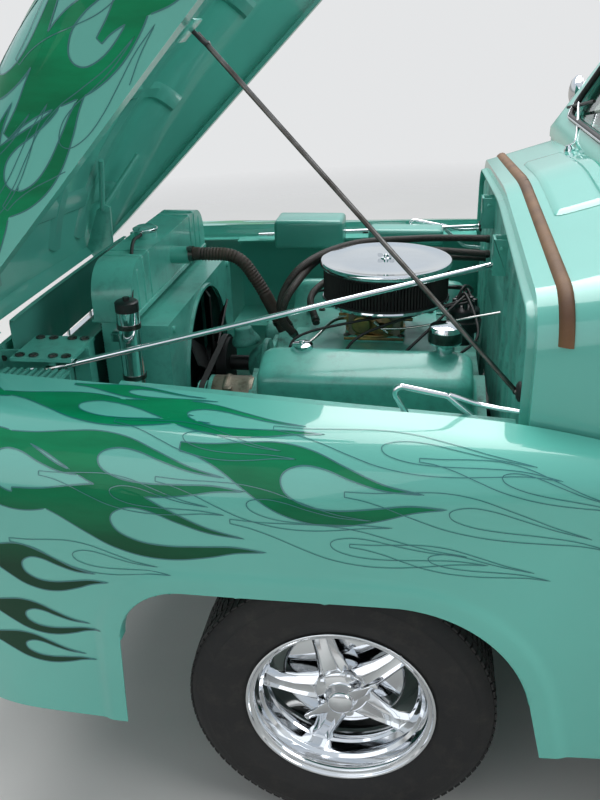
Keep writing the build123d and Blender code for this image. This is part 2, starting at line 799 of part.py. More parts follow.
# Front suspension: arms on the frame, knuckles that turn about the kingpins
PIN_LOW = 252
PIN_HIGH = 418
arms = block(-30, 30, RAIL_OUT, KINGPIN_Y, 226, PIN_LOW - FIT)
arms += Pos(0, KINGPIN_Y, (226 + PIN_LOW - FIT) / 2) * Cylinder(34, PIN_LOW - FIT - 226)
upper = block(-22, 22, RAIL_OUT, KINGPIN_Y, PIN_HIGH + FIT, PIN_HIGH + 20)
upper += Pos(0, KINGPIN_Y, PIN_HIGH + FIT + 10) * Cylinder(30, 20)
lower = arms + block(-30, 30, 400, 440, 226, 250)
node("suspension_arms", lower, upper, other_side(lower), other_side(upper))
knuckle = Pos(0, KINGPIN_Y, (PIN_LOW + PIN_HIGH) / 2) * Cylinder(KINGPIN_R, PIN_HIGH - PIN_LOW)
knuckle += bar((0, KINGPIN_Y, AXLE_Z), (0, WHEEL_Y + 30, AXLE_Z), SPINDLE_R)
knuckle += bar((0, KINGPIN_Y + 10, AXLE_Z), (0, KINGPIN_Y + 40, AXLE_Z), 60)
node("knuckle_left", knuckle)
node("knuckle_right", other_side(knuckle))

# Rear axle and springs
axle = bar((REAR_X, -650, AXLE_Z), (REAR_X, 650, AXLE_Z), 38)
axle += Pos(REAR_X, 0, AXLE_Z) * Sphere(120)
axle += bar((REAR_X, -WHEEL_Y - 30, AXLE_Z), (REAR_X, WHEEL_Y + 30, AXLE_Z), SPINDLE_R)
axle += bar((GEARBOX_BACK - 1, 0, 345), (REAR_X + 100, 0, AXLE_Z), 32)
node("rear_axle", axle)
spring = side_prism(
    [
        (REAR_X + 644, 400),
        (REAR_X + 644, 420),
        (REAR_X, 296),
        (REAR_X - 646, 450),
        (REAR_X - 646, 430),
        (REAR_X, 270),
    ],
    [0, 0, 900, 0, 0, 900],
    RAIL_OUT + 20,
    RAIL_OUT + 75,
)
spring += bar((REAR_X + 634, RAIL_OUT, 410), (REAR_X + 634, RAIL_OUT + 60, 410), 16)
spring += block(REAR_X - 656, REAR_X - 626, RAIL_OUT, RAIL_OUT + 40, 432, 520)
node("leaf_springs", spring - axle, other_side(spring - axle))

# Wheels: tyre, and rim with spokes, drum and two-bar cap
tyre_profile = [
    (-88, BEAD_R),
    (88, BEAD_R),
    (88, 212),
    (TYRE_HALF_WIDTH, 262),
    (TYRE_HALF_WIDTH - 6, TYRE_R - 18),
    (84, TYRE_R),
    (-84, TYRE_R),
    (-TYRE_HALF_WIDTH + 6, TYRE_R - 18),
    (-TYRE_HALF_WIDTH, 262),
    (-88, 212),
]
TYRE_RADII = [0, 0, 6, 30, 14, 16, 16, 14, 30, 6]
rim_profile = [
    (-RIM_HALF_WIDTH, BEAD_R - RIM_WALL),
    (RIM_HALF_WIDTH, BEAD_R - RIM_WALL),
    (RIM_HALF_WIDTH, RIM_LIP_R),
    (88 + FIT, RIM_LIP_R),
    (88 + FIT, BEAD_R - FIT),
    (-88 - FIT, BEAD_R - FIT),
    (-88 - FIT, RIM_LIP_R),
    (-RIM_HALF_WIDTH, RIM_LIP_R),
]


def rim():
    """One rim on the Y axis, its street face towards +Y."""
    barrel = ring_y(rim_profile, [0] * 8, 0, 0)
    hub = Pos(0, 20, 0) * Rot(90, 0, 0) * Cylinder(66, 60)
    drum = Pos(0, -35, 0) * Rot(90, 0, 0) * Cylinder(DRUM_R, 56)
    wheel = barrel + hub + drum
    for index in range(5):
        spoke = side_prism(
            [(-34, 40), (34, 40), (24, BEAD_R - RIM_WALL + 2), (-24, BEAD_R - RIM_WALL + 2)], [0] * 4, 18, 46
        )
        wheel += spoke.rotate(Axis.Y, index * 72)
    cap = Pos(0, 58, 0) * Rot(90, 0, 0) * Cylinder(30, 24)
    bars = Pos(0, 68, 0) * Rot(0, 35, 0) * Box(190, 10, 26)
    wheel += cap + bars
    bore = Pos(0, -20, 0) * Rot(90, 0, 0) * Cylinder(SPINDLE_R + FIT, 110)
    return wheel - bore


tyre = ring_y(tyre_profile, TYRE_RADII, 0, 0)
wheel_rim = rim()
for label, x in (("front", 0), ("rear", REAR_X)):
    place = Pos(x, WHEEL_Y, AXLE_Z)
    node(f"tyre_{label}_left", place * tyre)
    node(f"tyre_{label}_right", other_side(place * tyre))
    node(f"rim_{label}_left", place * wheel_rim)
    node(f"rim_{label}_right", other_side(place * wheel_rim))

# Load box, tailgate and rear fenders
box = block(BOX_BACK, BOX_FRONT, -BOX_HALF, BOX_HALF, BOX_FLOOR_LOW, BOX_TOP)
load_half = BOX_HALF - BOX_WALL
box -= block(BOX_BACK - 10, BOX_FRONT - BOX_WALL, -load_half, load_half, BOX_FLOOR, BOX_TOP + 10)
for x in (-2000, -2500, -3000, -3600):
    box += block(x - 40, x + 40, -RAIL_OUT, RAIL_OUT, RAIL_TOP + RAIL_KICK, BOX_FLOOR_LOW)
well = Pos(REAR_X, WHEEL_Y, AXLE_Z) * Rot(90, 0, 0) * Cylinder(TYRE_R + 30, 2 * TYRE_HALF_WIDTH + 40)
box = box - well - other_side(well)
gate = block(BOX_BACK - 4 - GATE_THICK, BOX_BACK - 4, -BOX_HALF, BOX_HALF, BOX_FLOOR_LOW + 4, BOX_TOP)
GATE_AXIS = (BOX_BACK - 4, BOX_FLOOR_LOW - 8)
for side in (1, -1):
    for y in (-20, 0, 20):
        middle = side * 500 + y
        barrel = bar((GATE_AXIS[0], middle - 9.8, GATE_AXIS[1]), (GATE_AXIS[0], middle + 9.8, GATE_AXIS[1]), 7)
        low = middle - 9.8
        high = middle + 9.8
        if y:
            box += barrel + block(GATE_AXIS[0] - 3, BOX_BACK + 20, low, high, GATE_AXIS[1], BOX_FLOOR_LOW)
        else:
            gate += barrel + block(GATE_AXIS[0] - 12, GATE_AXIS[0], low, high, GATE_AXIS[1], BOX_FLOOR_LOW + 6)
node("load_box", box)
node("tailgate", gate)


def rear_fender():
    """The left rear fender, a rounded pontoon over the wheel."""
    side = [
        (REAR_X + 470, 340),
        (REAR_X + 420, 760),
        (REAR_X + 240, 860),
        (REAR_X - 250, 850),
        (REAR_X - 560, 560),
        (REAR_X - 600, 340),
    ]
    radii = [0, 150, 150, 260, 120, 0]
    body = side_prism(side, radii, BOX_HALF, 955)
    outer = body.faces().sort_by(Axis.Y)[-1]
    top_edges = [edge for edge in outer.edges() if edge.center().Z > 345]
    body = fillet(top_edges, 110)
    face = offset(outline(side, radii), amount=-SHEET)
    hollow = extrude(Plane.XZ.offset(-BOX_HALF + 10) * face, amount=-(955 - SHEET - BOX_HALF + 10))
    outer = hollow.faces().sort_by(Axis.Y)[-1]
    top_edges = [edge for edge in outer.edges() if edge.center().Z > 355]
    hollow = fillet(top_edges, 104)
    hollow += Pos(0, 0, -30) * hollow
    arch = side_prism(
        [
            (REAR_X + 400, 200),
            (REAR_X + 385, ARCH_TOP + 15),
            (REAR_X - 385, ARCH_TOP + 15),
            (REAR_X - 420, 200),
        ],
        [0, 300, 300, 0],
        BOX_HALF + 200,
        1100,
    )
    return body - hollow - arch


left = rear_fender()
node("rear_fenders", left, other_side(left))

# Bumpers
bumper = plan_prism([(860, -958), (FRONT_END, -958), (FRONT_END, 958), (860, 958)], [0, 160, 160, 0], 380, 490)
bumper -= plan_prism(
    [(850, -930), (FRONT_END - 28, -930), (FRONT_END - 28, 930), (850, 930)], [0, 132, 132, 0], 370, 500
)
for y in (-400, 400):
    bumper += block(RAIL_FRONT, FRONT_END - 20, y - 15, y + 15, 395, 455)
node("front_bumper", bumper)
PLATE_BOLTS = 178
HITCH_R = 13
rear = plan_prism(
    [(REAR_END + 90, -830), (REAR_END, -830), (REAR_END, 830), (REAR_END + 90, 830)], [0, 60, 60, 0], 400, 520
)
rear -= plan_prism(
    [(REAR_END + 100, -802), (REAR_END + 28, -802), (REAR_END + 28, 802), (REAR_END + 100, 802)],
    [0, 35, 35, 0],
    390,
    530,
)
rear += block(REAR_END + 10, REAR_END + 110, -120, 120, 400, 410)
for y in (-400, 400):
    rear += block(REAR_END + 20, RAIL_REAR, y - 15, y + 15, 475, 515)
for y in (-PLATE_BOLTS / 2, PLATE_BOLTS / 2):
    rear -= Pos(REAR_END, y, 460) * Rot(0, 90, 0) * Cylinder(3.5, 100)
rear -= Pos(REAR_END + 75, 0, 405) * Cylinder(HITCH_R, 40)
node("rear_bumper", rear)

# Exhaust and tank
pipes = []
for side in (1, -1):
    pipe = bar((-300, side * 270, 262), (-3700, side * 270, 262), 24)
    pipe += bar((-1500, side * 270, 262), (-1950, side * 270, 262), 55)
    for x, high in ((GEARBOX_MEMBER_X, LOW_MEMBER_Z), (AXLE_MEMBER_X, HIGH_MEMBER_Z)):
        pipe += block(x - 8, x + 8, *sorted((side * 262, side * 278)), 270, high)
    pipes.append(pipe)
node("exhaust", *pipes)
node("fuel_tank", block(RAIL_REAR + 90, REAR_X - 346, -RAIL_IN, RAIL_IN, 380, 560))

# Tail lamps on the load box
lamps = []
for side in (1, -1):
    lamp_y = side * (BOX_HALF + LAMP_STALK)
    lamp = bar((BOX_BACK + 80, lamp_y, 800), (BOX_BACK + 10, lamp_y, 800), 45)
    lamp += block(BOX_BACK + 40, BOX_BACK + 60, *sorted((side * BOX_HALF, lamp_y)), 780, 820)
    lamps.append(lamp)
node("tail_lamps", *lamps)
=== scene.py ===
"""Looks of a classic pickup truck with a tilting hood, built around its packed frame."""

import math

import bmesh
import bpy
import numpy as np
from mathutils import Matrix, Vector
from mathutils.geometry import delaunay_2d_cdt


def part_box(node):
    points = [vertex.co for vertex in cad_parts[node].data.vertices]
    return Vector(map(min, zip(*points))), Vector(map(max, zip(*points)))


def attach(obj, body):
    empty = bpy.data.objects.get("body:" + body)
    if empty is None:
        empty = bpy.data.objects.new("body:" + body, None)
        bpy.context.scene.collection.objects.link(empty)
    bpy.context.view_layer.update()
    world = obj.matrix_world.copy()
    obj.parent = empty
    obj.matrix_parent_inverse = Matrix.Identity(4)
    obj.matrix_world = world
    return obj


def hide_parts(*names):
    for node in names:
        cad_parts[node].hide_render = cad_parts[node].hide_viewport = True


bl_info = {
    "name": "Classic pickup truck looks",
    "version": (1, 0, 0),
    "blender": (4, 5, 0),
    "location": "View3D > Sidebar > Truck",
    "description": "Dresses the packed truck frame with paint, flames, engine detail, wheels and trim",
    "category": "Object",
}

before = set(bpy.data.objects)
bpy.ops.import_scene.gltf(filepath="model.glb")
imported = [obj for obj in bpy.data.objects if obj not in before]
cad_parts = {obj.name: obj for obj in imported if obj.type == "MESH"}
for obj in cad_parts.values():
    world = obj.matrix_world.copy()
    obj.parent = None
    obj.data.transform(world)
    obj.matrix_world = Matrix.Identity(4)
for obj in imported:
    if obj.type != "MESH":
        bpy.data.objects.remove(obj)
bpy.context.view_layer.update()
MM = 0.001
SIDES = ((1, "left"), (-1, "right"))


def middle(node):
    """The middle of a CAD node."""
    low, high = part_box(node)
    return (low + high) / 2


FRONT_AXLE = middle("rim_front_left").x
REAR_AXLE = middle("rim_rear_left").x
AXLE_Z = middle("rim_front_left").z
WHEEL_Y = middle("tyre_front_left").y


def at(x, y, z):
    """A point from millimetres: x ahead of the front axle, y to the left, z up."""
    return Vector((FRONT_AXLE + x * MM, y * MM, z * MM))


def srgb(r, g, b):
    """A colour given from 0 to 255, as a shader takes it."""
    parts = [c / 255 for c in (r, g, b)]
    return (*[c / 12.92 if c <= 0.04045 else ((c + 0.055) / 1.055) ** 2.4 for c in parts], 1.0)


# Shader maths
class Value:
    """A shader socket that takes part in sums."""

    def __init__(self, finish, out):
        self.finish, self.out = finish, out

    def _sum(self, kind, *parts):
        return self.finish.node("ShaderNodeMath", {"operation": kind}, dict(enumerate(parts)))

    def __add__(self, other):
        return self._sum("ADD", self, other)

    __radd__ = __add__

    def __sub__(self, other):
        return self._sum("SUBTRACT", self, other)

    def __rsub__(self, other):
        return self._sum("SUBTRACT", other, self)

    def __mul__(self, other):
        return self._sum("MULTIPLY", self, other)

    __rmul__ = __mul__

    def __truediv__(self, other):
        return self._sum("DIVIDE", self, other)

    def __pow__(self, other):
        return self._sum("POWER", self, other)

    def wave(self):
        """The sine of it."""
        return self._sum("SINE", self)

    def size(self):
        """Its value without the sign."""
        return self._sum("ABSOLUTE", self)

    def fit(self, low, high, start=0.0, end=1.0):
        """Its range from low to high, taken to start to end."""
        return self.finish.node(
            "ShaderNodeMapRange", {}, {0: self, 1: low, 2: high, 3: start, 4: end}
        )


class Finish:
    """A material, with one method that adds any node to it."""

    def __init__(self, name, **fixed):
        self.material = bpy.data.materials.new(name)
        self.material.use_nodes = True
        self.tree = self.material.node_tree
        self.shader = self.tree.nodes["Principled BSDF"]
        for socket, value in fixed.items():
            self.shader.inputs[socket.replace("_", " ")].default_value = value
        self.place = self.node("ShaderNodeTexCoord", out=3)

    def node(self, kind, settings=None, values=None, out=0):
        made = self.tree.nodes.new(kind)
        for key, value in (settings or {}).items():
            if key == "stops":
                ramp = made.color_ramp
                while len(ramp.elements) < len(value):
                    ramp.elements.new(1.0)
                for element, (place, colour) in zip(ramp.elements, value):
                    element.position = place
                    element.color = colour
            else:
                setattr(made, key, value)
        for key, value in (values or {}).items():
            if isinstance(value, Value):
                self.tree.links.new(value.out, made.inputs[key])
            else:
                made.inputs[key].default_value = value
        return Value(self, made.outputs[out])

    def scaled(self, x, y, z):
        """Object coordinates, scaled along each axis."""
        return self.node("ShaderNodeMapping", {}, {"Vector": self.place, "Scale": (x, y, z)})

    def axis(self, index):
        """One object coordinate."""
        return self.node("ShaderNodeSeparateXYZ", {}, {0: self.place}, index)

    def noise(self, scale, detail=3.0, rough=0.5, vector=None):
        return self.node(
            "ShaderNodeTexNoise",
            {},
            {"Vector": vector or self.place, "Scale": scale, "Detail": detail, "Roughness": rough},
        )

    def mix(self, factor, a, b, blend="MIX"):
        settings = {"data_type": "RGBA", "blend_type": blend}
        return self.node("ShaderNodeMix", settings, {0: factor, 6: a, 7: b}, 2)

    def bump(self, height, strength, distance):
        values = {"Strength": strength, "Distance": distance, "Height": height}
        return self.node("ShaderNodeBump", {}, values)

    def feed(self, socket, value):
        self.tree.links.new(value.out, self.shader.inputs[socket])
        return self


FINISHES = {}


def use(name):
    """A finish that make_finishes has made."""
    return FINISHES[name].material


def surface(name, colour, other, scale, rough, spread, metal=0.0, bump=0.0, fine=300.0, dirt=None, **fixed):
    """A finish whose colour drifts to another, with fine roughness and a fine bump."""
    made = Finish(name, Metallic=metal, **fixed)
    drift = made.noise(scale, 4.0).fit(0.3, 0.7)
    base = made.mix(drift, colour, other)
    grain = made.noise(fine, 3.0, 0.6)
    if dirt:
        patches = made.noise(scale * 3 + 4, 6.0, 0.7).fit(0.5, 0.72)
        base = made.mix(patches * dirt[1], base, dirt[0])
    made.feed("Base Color", base)
    made.feed("Roughness", grain * spread + (rough - spread / 2))
    if bump:
        made.feed("Normal", made.bump(grain, min(1.0, bump), 0.001))
    FINISHES[name] = made
    return made


def weave(name, colour, other, pitch, rough, bump):
    """A braided or woven finish that reads the object's own coordinates."""
    made = Finish(name, Roughness=rough)
    x, y, z = made.axis(0), made.axis(1), made.axis(2)
    one = ((x + y + z) * pitch).wave()
    two = ((x - y + z * 0.7) * pitch).wave()
    cross = (one * two).fit(-0.6, 0.6)
    made.feed("Base Color", made.mix(cross, colour, other))
    made.feed("Normal", made.bump(cross, 0.6, bump))
    FINISHES[name] = made


def make_finishes(paint):
    """Every material, from the colours in the panel."""
    body, flame = tuple(paint.body), tuple(paint.flame)
    dark = tuple(c * 0.82 for c in body[:3]) + (1.0,)
    coat = {"Coat_Weight": 1.0, "Coat_Roughness": 0.04, "Coat_IOR": 1.5}
    enamel = surface("SeafoamEnamel", body, dark, 1.3, 0.34, 0.1, 0.0, 0.03, 420.0, **coat)
    enamel.shader.inputs["Specular IOR Level"].default_value = 0.4
    surface("SeafoamEngine", body, tuple(c * 0.72 for c in body[:3]) + (1.0,), 5.0, 0.36, 0.12,
            0.0, 0.05, 260.0, (srgb(36, 62, 58), 0.35), Coat_Weight=0.5, Coat_Roughness=0.12)
    surface("SeafoamCast", dark, tuple(c * 0.5 for c in body[:3]) + (1.0,), 9.0, 0.5, 0.2,
            0.0, 0.5, 330.0, (srgb(22, 34, 32), 0.7))
    surface("SeafoamInner", dark, tuple(c * 0.62 for c in body[:3]) + (1.0,), 2.0, 0.42, 0.12,
            0.0, 0.06, 300.0, Coat_Weight=0.6, Coat_Roughness=0.1)
    candy = Finish("CandyFlame", Coat_Weight=0.4, Coat_Roughness=0.03, Coat_IOR=1.35)
    candy.shader.inputs["Specular IOR Level"].default_value = 0.12
    # Painted shade: the flames go from full colour high up (above 0.99 m) to a dark sixth of it low down
    # (below 0.72 m), so their lower parts on the fender and hood sides look shaded
    low = tuple(c * 0.16 for c in flame[:3]) + (1.0,)
    height = candy.axis(2).fit(0.72, 0.99)
    streak = candy.noise(1.0, 4.0, 0.6, candy.scaled(3.0, 9.0, 14.0)).fit(0.35, 0.65)
    painted_shade_flame = candy.mix(height, low, flame)
    candy.feed("Base Color", candy.mix(streak * 0.45, painted_shade_flame, low))
    flake = candy.noise(2600.0, 0.0)
    candy.feed("Roughness", flake * 0.2 + 0.22)
    FINISHES["CandyFlame"] = candy
    surface("Pinstripe", tuple(paint.stripe), srgb(20, 112, 116), 30.0, 0.3, 0.1, **coat)
    surface("GhostStripe", tuple(c * 0.42 for c in body[:3]) + (1.0,), srgb(44, 138, 138), 20.0, 0.32, 0.1,
            **coat)
    surface("Chrome", (0.82, 0.84, 0.86, 1.0), (0.72, 0.73, 0.75, 1.0), 7.0, 0.07, 0.06, 1.0)
    surface("WornChrome", (0.62, 0.62, 0.62, 1.0), (0.42, 0.40, 0.37, 1.0), 16.0, 0.16, 0.12, 1.0)
    surface("DarkSteel", srgb(120, 118, 116), srgb(70, 66, 62), 25.0, 0.3, 0.2, 1.0, 0.05)
    surface("CastAlloy", srgb(150, 142, 128), srgb(96, 86, 72), 14.0, 0.5, 0.25, 0.85, 0.35, 420.0,
            (srgb(48, 38, 28), 0.6))
    surface("GoldZinc", srgb(178, 148, 88), srgb(112, 96, 76), 22.0, 0.34, 0.2, 0.9, 0.1, 400.0,
            (srgb(60, 44, 30), 0.4))
    surface("FrameBlack", srgb(26, 26, 27), srgb(40, 38, 36), 3.0, 0.52, 0.2, 0.0, 0.15, 240.0,
            (srgb(88, 78, 66), 0.25))
    surface("CoreBlack", srgb(14, 14, 15), srgb(26, 27, 27), 8.0, 0.55, 0.2, 0.2, 0.1)
    surface("TyreRubber", srgb(24, 24, 25), srgb(36, 35, 34), 6.0, 0.72, 0.2, 0.0, 0.25, 500.0,
            (srgb(84, 78, 70), 0.22))
    surface("BlackRubber", srgb(20, 20, 21), srgb(34, 33, 32), 12.0, 0.58, 0.2, 0.0, 0.12, 400.0)
    surface("HoseRubber", srgb(46, 38, 34), srgb(74, 60, 50), 18.0, 0.6, 0.2, 0.0, 0.3, 300.0)
    surface("TanSeal", srgb(128, 92, 58), srgb(92, 62, 40), 10.0, 0.62, 0.2, 0.0, 0.3, 260.0)
    surface("FilterPaper", srgb(26, 26, 26), srgb(44, 42, 40), 20.0, 0.85, 0.1, 0.0, 0.3, 600.0)
    surface("Exhaust", srgb(120, 112, 102), srgb(84, 68, 54), 4.0, 0.45, 0.2, 0.9, 0.15, 200.0)
    surface("BlackPlastic", srgb(22, 23, 24), srgb(30, 30, 31), 10.0, 0.35, 0.12, 0.0, 0.06, 500.0)
    surface("GaugeFace", srgb(232, 228, 214), srgb(214, 208, 190), 20.0, 0.5, 0.1)
    surface("Carpet", srgb(38, 62, 58), srgb(58, 84, 78), 60.0, 0.95, 0.05, 0.0, 1.0, 900.0)
    surface("Headliner", srgb(196, 190, 172), srgb(178, 170, 152), 30.0, 0.9, 0.08, 0.0, 0.5, 900.0)
    vinyl = surface("SeatVinyl", srgb(198, 176, 138), srgb(178, 154, 116), 5.0, 0.46, 0.16, 0.0, 0.5, 520.0)
    vinyl.shader.inputs["Sheen Weight"].default_value = 0.15
    surface("SeatPiping", srgb(60, 140, 126), srgb(44, 110, 100), 30.0, 0.45, 0.1)
    wood = Finish("BedOak", Coat_Weight=0.7, Coat_Roughness=0.14)
    rings = wood.noise(1.0, 6.0, 0.65, wood.scaled(1.6, 60.0, 60.0)).fit(0.3, 0.7)
    board = wood.noise(1.0, 1.0, 0.5, wood.scaled(0.2, 7.0, 1.0)).fit(0.35, 0.65)
    tone = wood.mix(board, srgb(168, 112, 62), srgb(140, 88, 46))
    wood.feed("Base Color", wood.mix(rings * 0.6, tone, srgb(96, 56, 28)))
    wood.feed("Roughness", rings * 0.2 + 0.36)
    wood.feed("Normal", wood.bump(rings, 0.25, 0.0006))
    FINISHES["BedOak"] = wood
    weave("Braid", srgb(66, 58, 52), srgb(34, 30, 28), 900.0, 0.55, 0.0008)
    for name, tint, rough, ior in (
        ("ClearGlass", (0.86, 0.96, 0.93, 1.0), 0.0, 1.45),
        ("LampGlass", (0.93, 0.96, 0.97, 1.0), 0.03, 1.45),
        ("RedLens", (0.75, 0.02, 0.02, 1.0), 0.08, 1.45),
        ("AmberLens", (0.95, 0.42, 0.04, 1.0), 0.08, 1.45),
    ):
        lens = Finish(name, Transmission_Weight=1.0, IOR=ior)
        film = lens.noise(5.0, 4.0)
        lens.feed("Base Color", lens.mix(film.fit(0.4, 0.8) * 0.12, tint, tuple(c * 0.85 for c in tint)))
        lens.feed("Roughness", film * 0.05 + rough)
        if name == "LampGlass":
            flutes = (lens.axis(1) * 900.0).wave()
            lens.feed("Normal", lens.bump(flutes, 0.5, 0.001))
        FINISHES[name] = lens


def put(name, data):
    """A new object in the scene."""
    made = bpy.data.objects.new(name, data)
    bpy.context.scene.collection.objects.link(made)
    return made


def applied(base):
    """The mesh of an object with its modifiers applied; the object is removed."""
    bpy.context.view_layer.update()
    mesh = bpy.data.meshes.new_from_object(base.evaluated_get(bpy.context.evaluated_depsgraph_get()))
    bpy.data.objects.remove(base)
    return mesh


# Geometry Nodes
class Tree:
    """A Geometry Nodes tree with named inputs, that grows a plain mesh from a base object."""

    def __init__(self, name, **inputs):
        self.group = bpy.data.node_groups.new(name, "GeometryNodeTree")
        self.group.is_modifier = True
        face = self.group.interface
        face.new_socket("Geometry", in_out="INPUT", socket_type="NodeSocketGeometry")
        face.new_socket("Geometry", in_out="OUTPUT", socket_type="NodeSocketGeometry")
        self.labels = {}
        for label, (kind, value) in inputs.items():
            socket = face.new_socket(label, in_out="INPUT", socket_type="NodeSocket" + kind)
            if value is not None:
                socket.default_value = value
            self.labels[label] = socket.identifier
        self.begin = self.group.nodes.new("NodeGroupInput")
        self.base = self.begin.outputs[0]

    def __getitem__(self, label):
        return self.begin.outputs[label]

    def node(self, kind, settings=None, values=None, out=0):
        made = self.group.nodes.new(kind)
        for key, value in (settings or {}).items():
            setattr(made, key, value)
        for key, value in (values or {}).items():
            for one in value if isinstance(value, list) else [value]:
                if isinstance(one, bpy.types.NodeSocket):
                    self.group.links.new(one, made.inputs[key])
                else:
                    made.inputs[key].default_value = one
        return made.outputs[out]

    def end(self, geometry):
        """Realizes the instances, sets the material and closes the tree."""
        real = self.node("GeometryNodeRealizeInstances", {}, {0: geometry})
        painted = self.node("GeometryNodeSetMaterial", {}, {"Geometry": real, "Material": self["Finish"]})
        last = self.group.nodes.new("NodeGroupOutput")
        self.group.links.new(painted, last.inputs[0])
        return self

    def grow(self, name, base, finish, body, angle=35, slot=None, replaces=(), **values):
        """Runs the tree on base and leaves a plain mesh that rides on body."""
        maker = base.modifiers.new("grow", "NODES")
        maker.node_group = self.group
        for label, value in {**values, "Finish": use(finish)}.items():
            maker[self.labels[label]] = value
        return settle(name, applied(base), [finish], body, angle, replaces)


TREES = {}


def make_trees():
    """The trees: tubes along a path, rows and rings of like things, and bolt heads."""
    tube = Tree("TubeOnPath", Radius=("Float", 0.01), Sides=("Int", 12), Finish=("Material", None))
    ring = tube.node("GeometryNodeCurvePrimitiveCircle", {},
                     {"Resolution": tube["Sides"], "Radius": tube["Radius"]})
    skin = tube.node("GeometryNodeCurveToMesh", {},
                     {"Curve": tube.base, "Profile Curve": ring, "Fill Caps": True})
    TREES["tube"] = tube.end(skin)

    row = Tree("RowOfThings", Count=("Int", 5), Step=("Vector", (0.1, 0, 0)), Finish=("Material", None))
    line = row.node("GeometryNodeMeshLine", {"mode": "OFFSET"},
                    {"Count": row["Count"], "Offset": row["Step"]})
    things = row.node("GeometryNodeInstanceOnPoints", {}, {"Points": line, "Instance": row.base})
    TREES["row"] = row.end(things)

    ring = Tree("RingOfThings", Count=("Int", 12), Axis=("Vector", (0, 0, 1)), Centre=("Vector", (0, 0, 0)),
                Finish=("Material", None))
    spots = ring.node("GeometryNodeMeshLine", {"mode": "OFFSET"},
                      {"Count": ring["Count"], "Start Location": ring["Centre"], "Offset": (0, 0, 0)})
    index = ring.node("GeometryNodeInputIndex")
    share = ring.node("ShaderNodeMath", {"operation": "DIVIDE"}, {0: index, 1: ring["Count"]})
    angle = ring.node("ShaderNodeMath", {"operation": "MULTIPLY"}, {0: share, 1: 2 * math.pi})
    turn = ring.node("FunctionNodeAxisAngleToRotation", {}, {"Axis": ring["Axis"], "Angle": angle})
    things = ring.node("GeometryNodeInstanceOnPoints", {},
                       {"Points": spots, "Instance": ring.base, "Rotation": turn})
    TREES["ring"] = ring.end(things)

    bolts = Tree("BoltHeads", Radius=("Float", 0.006), Height=("Float", 0.005), Sides=("Int", 6),
                 Finish=("Material", None))
    head = bolts.node("GeometryNodeMeshCylinder", {},
                      {"Vertices": bolts["Sides"], "Radius": bolts["Radius"], "Depth": bolts["Height"]})
    wide = bolts.node("ShaderNodeMath", {"operation": "MULTIPLY"}, {0: bolts["Radius"], 1: 1.45})
    thin = bolts.node("ShaderNodeMath", {"operation": "MULTIPLY"}, {0: bolts["Height"], 1: 0.4})
    washer = bolts.node("GeometryNodeMeshCylinder", {}, {"Vertices": 14, "Radius": wide, "Depth": thin})
    both = bolts.node("GeometryNodeJoinGeometry", {}, {"Geometry": [head, washer]})
    aim = bolts.node("GeometryNodeInputNamedAttribute", {"data_type": "FLOAT_VECTOR"}, {"Name": "aim"})
    turn = bolts.node("FunctionNodeAlignRotationToVector", {"axis": "Z"}, {"Vector": aim})
    heads = bolts.node("GeometryNodeInstanceOnPoints", {},
                       {"Points": bolts.base, "Instance": both, "Rotation": turn})
    TREES["bolts"] = bolts.end(heads)

    clean = Tree("CleanShading", Angle=("Float", 0.6), Finish=("Material", None))
    joined = clean.node("GeometryNodeMergeByDistance", {}, {"Geometry": clean.base, "Distance": 0.00002})
    smooth = clean.node("GeometryNodeSetShadeSmooth", {}, {"Geometry": joined, "Shade Smooth": True})
    bend = clean.node("GeometryNodeInputMeshEdgeAngle")
    sharp = clean.node("FunctionNodeCompare", {"data_type": "FLOAT", "operation": "GREATER_THAN"},
                       {0: bend, 1: clean["Angle"]})
    edged = clean.node("GeometryNodeSetShadeSmooth", {"domain": "EDGE"},
                       {"Geometry": smooth, "Selection": sharp, "Shade Smooth": False})
    TREES["clean"] = clean.end(edged)


def settle(name, mesh, finishes, body, angle=35, replaces=()):
    """Makes a finished mesh an object that rides on body; its first finish gives the usual slot."""
    mesh.name = name
    mesh.materials.clear()
    for finish in finishes:
        mesh.materials.append(use(finish))
    mesh.shade_smooth()
    mesh.set_sharp_from_angle(angle=math.radians(angle))
    made = put(name, mesh)
    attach(made, body)
    if replaces:
        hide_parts(*replaces)
    return made


def rounded(points, radii, step=10.0, closed=True):
    """2-D corners joined by straight lines and arcs."""
    count = len(points)
    line = []
    for i, (corner, radius) in enumerate(zip(points, radii)):
        corner = np.array(corner, float)
        if radius <= 0 or (not closed and i in (0, count - 1)):
            line.append(tuple(corner))
            continue
        a = np.array(points[i - 1], float) - corner
        b = np.array(points[(i + 1) % count], float) - corner
        a /= np.linalg.norm(a)
        b /= np.linalg.norm(b)
        half = math.acos(max(-1.0, min(1.0, float(a @ b)))) / 2
        start = corner + a * radius / math.tan(half)
        stop = corner + b * radius / math.tan(half)
        centre = corner + (a + b) / np.linalg.norm(a + b) * radius / math.sin(half)
        steps = max(2, int((math.pi - 2 * half) * radius / step) + 1)
        u, v = start - centre, stop - centre
        turn = math.pi - 2 * half
        for k in range(steps + 1):
            share = k / steps
            p = (math.sin((1 - share) * turn) * u + math.sin(share * turn) * v) / math.sin(turn)
            line.append(tuple(centre + p))
    return line


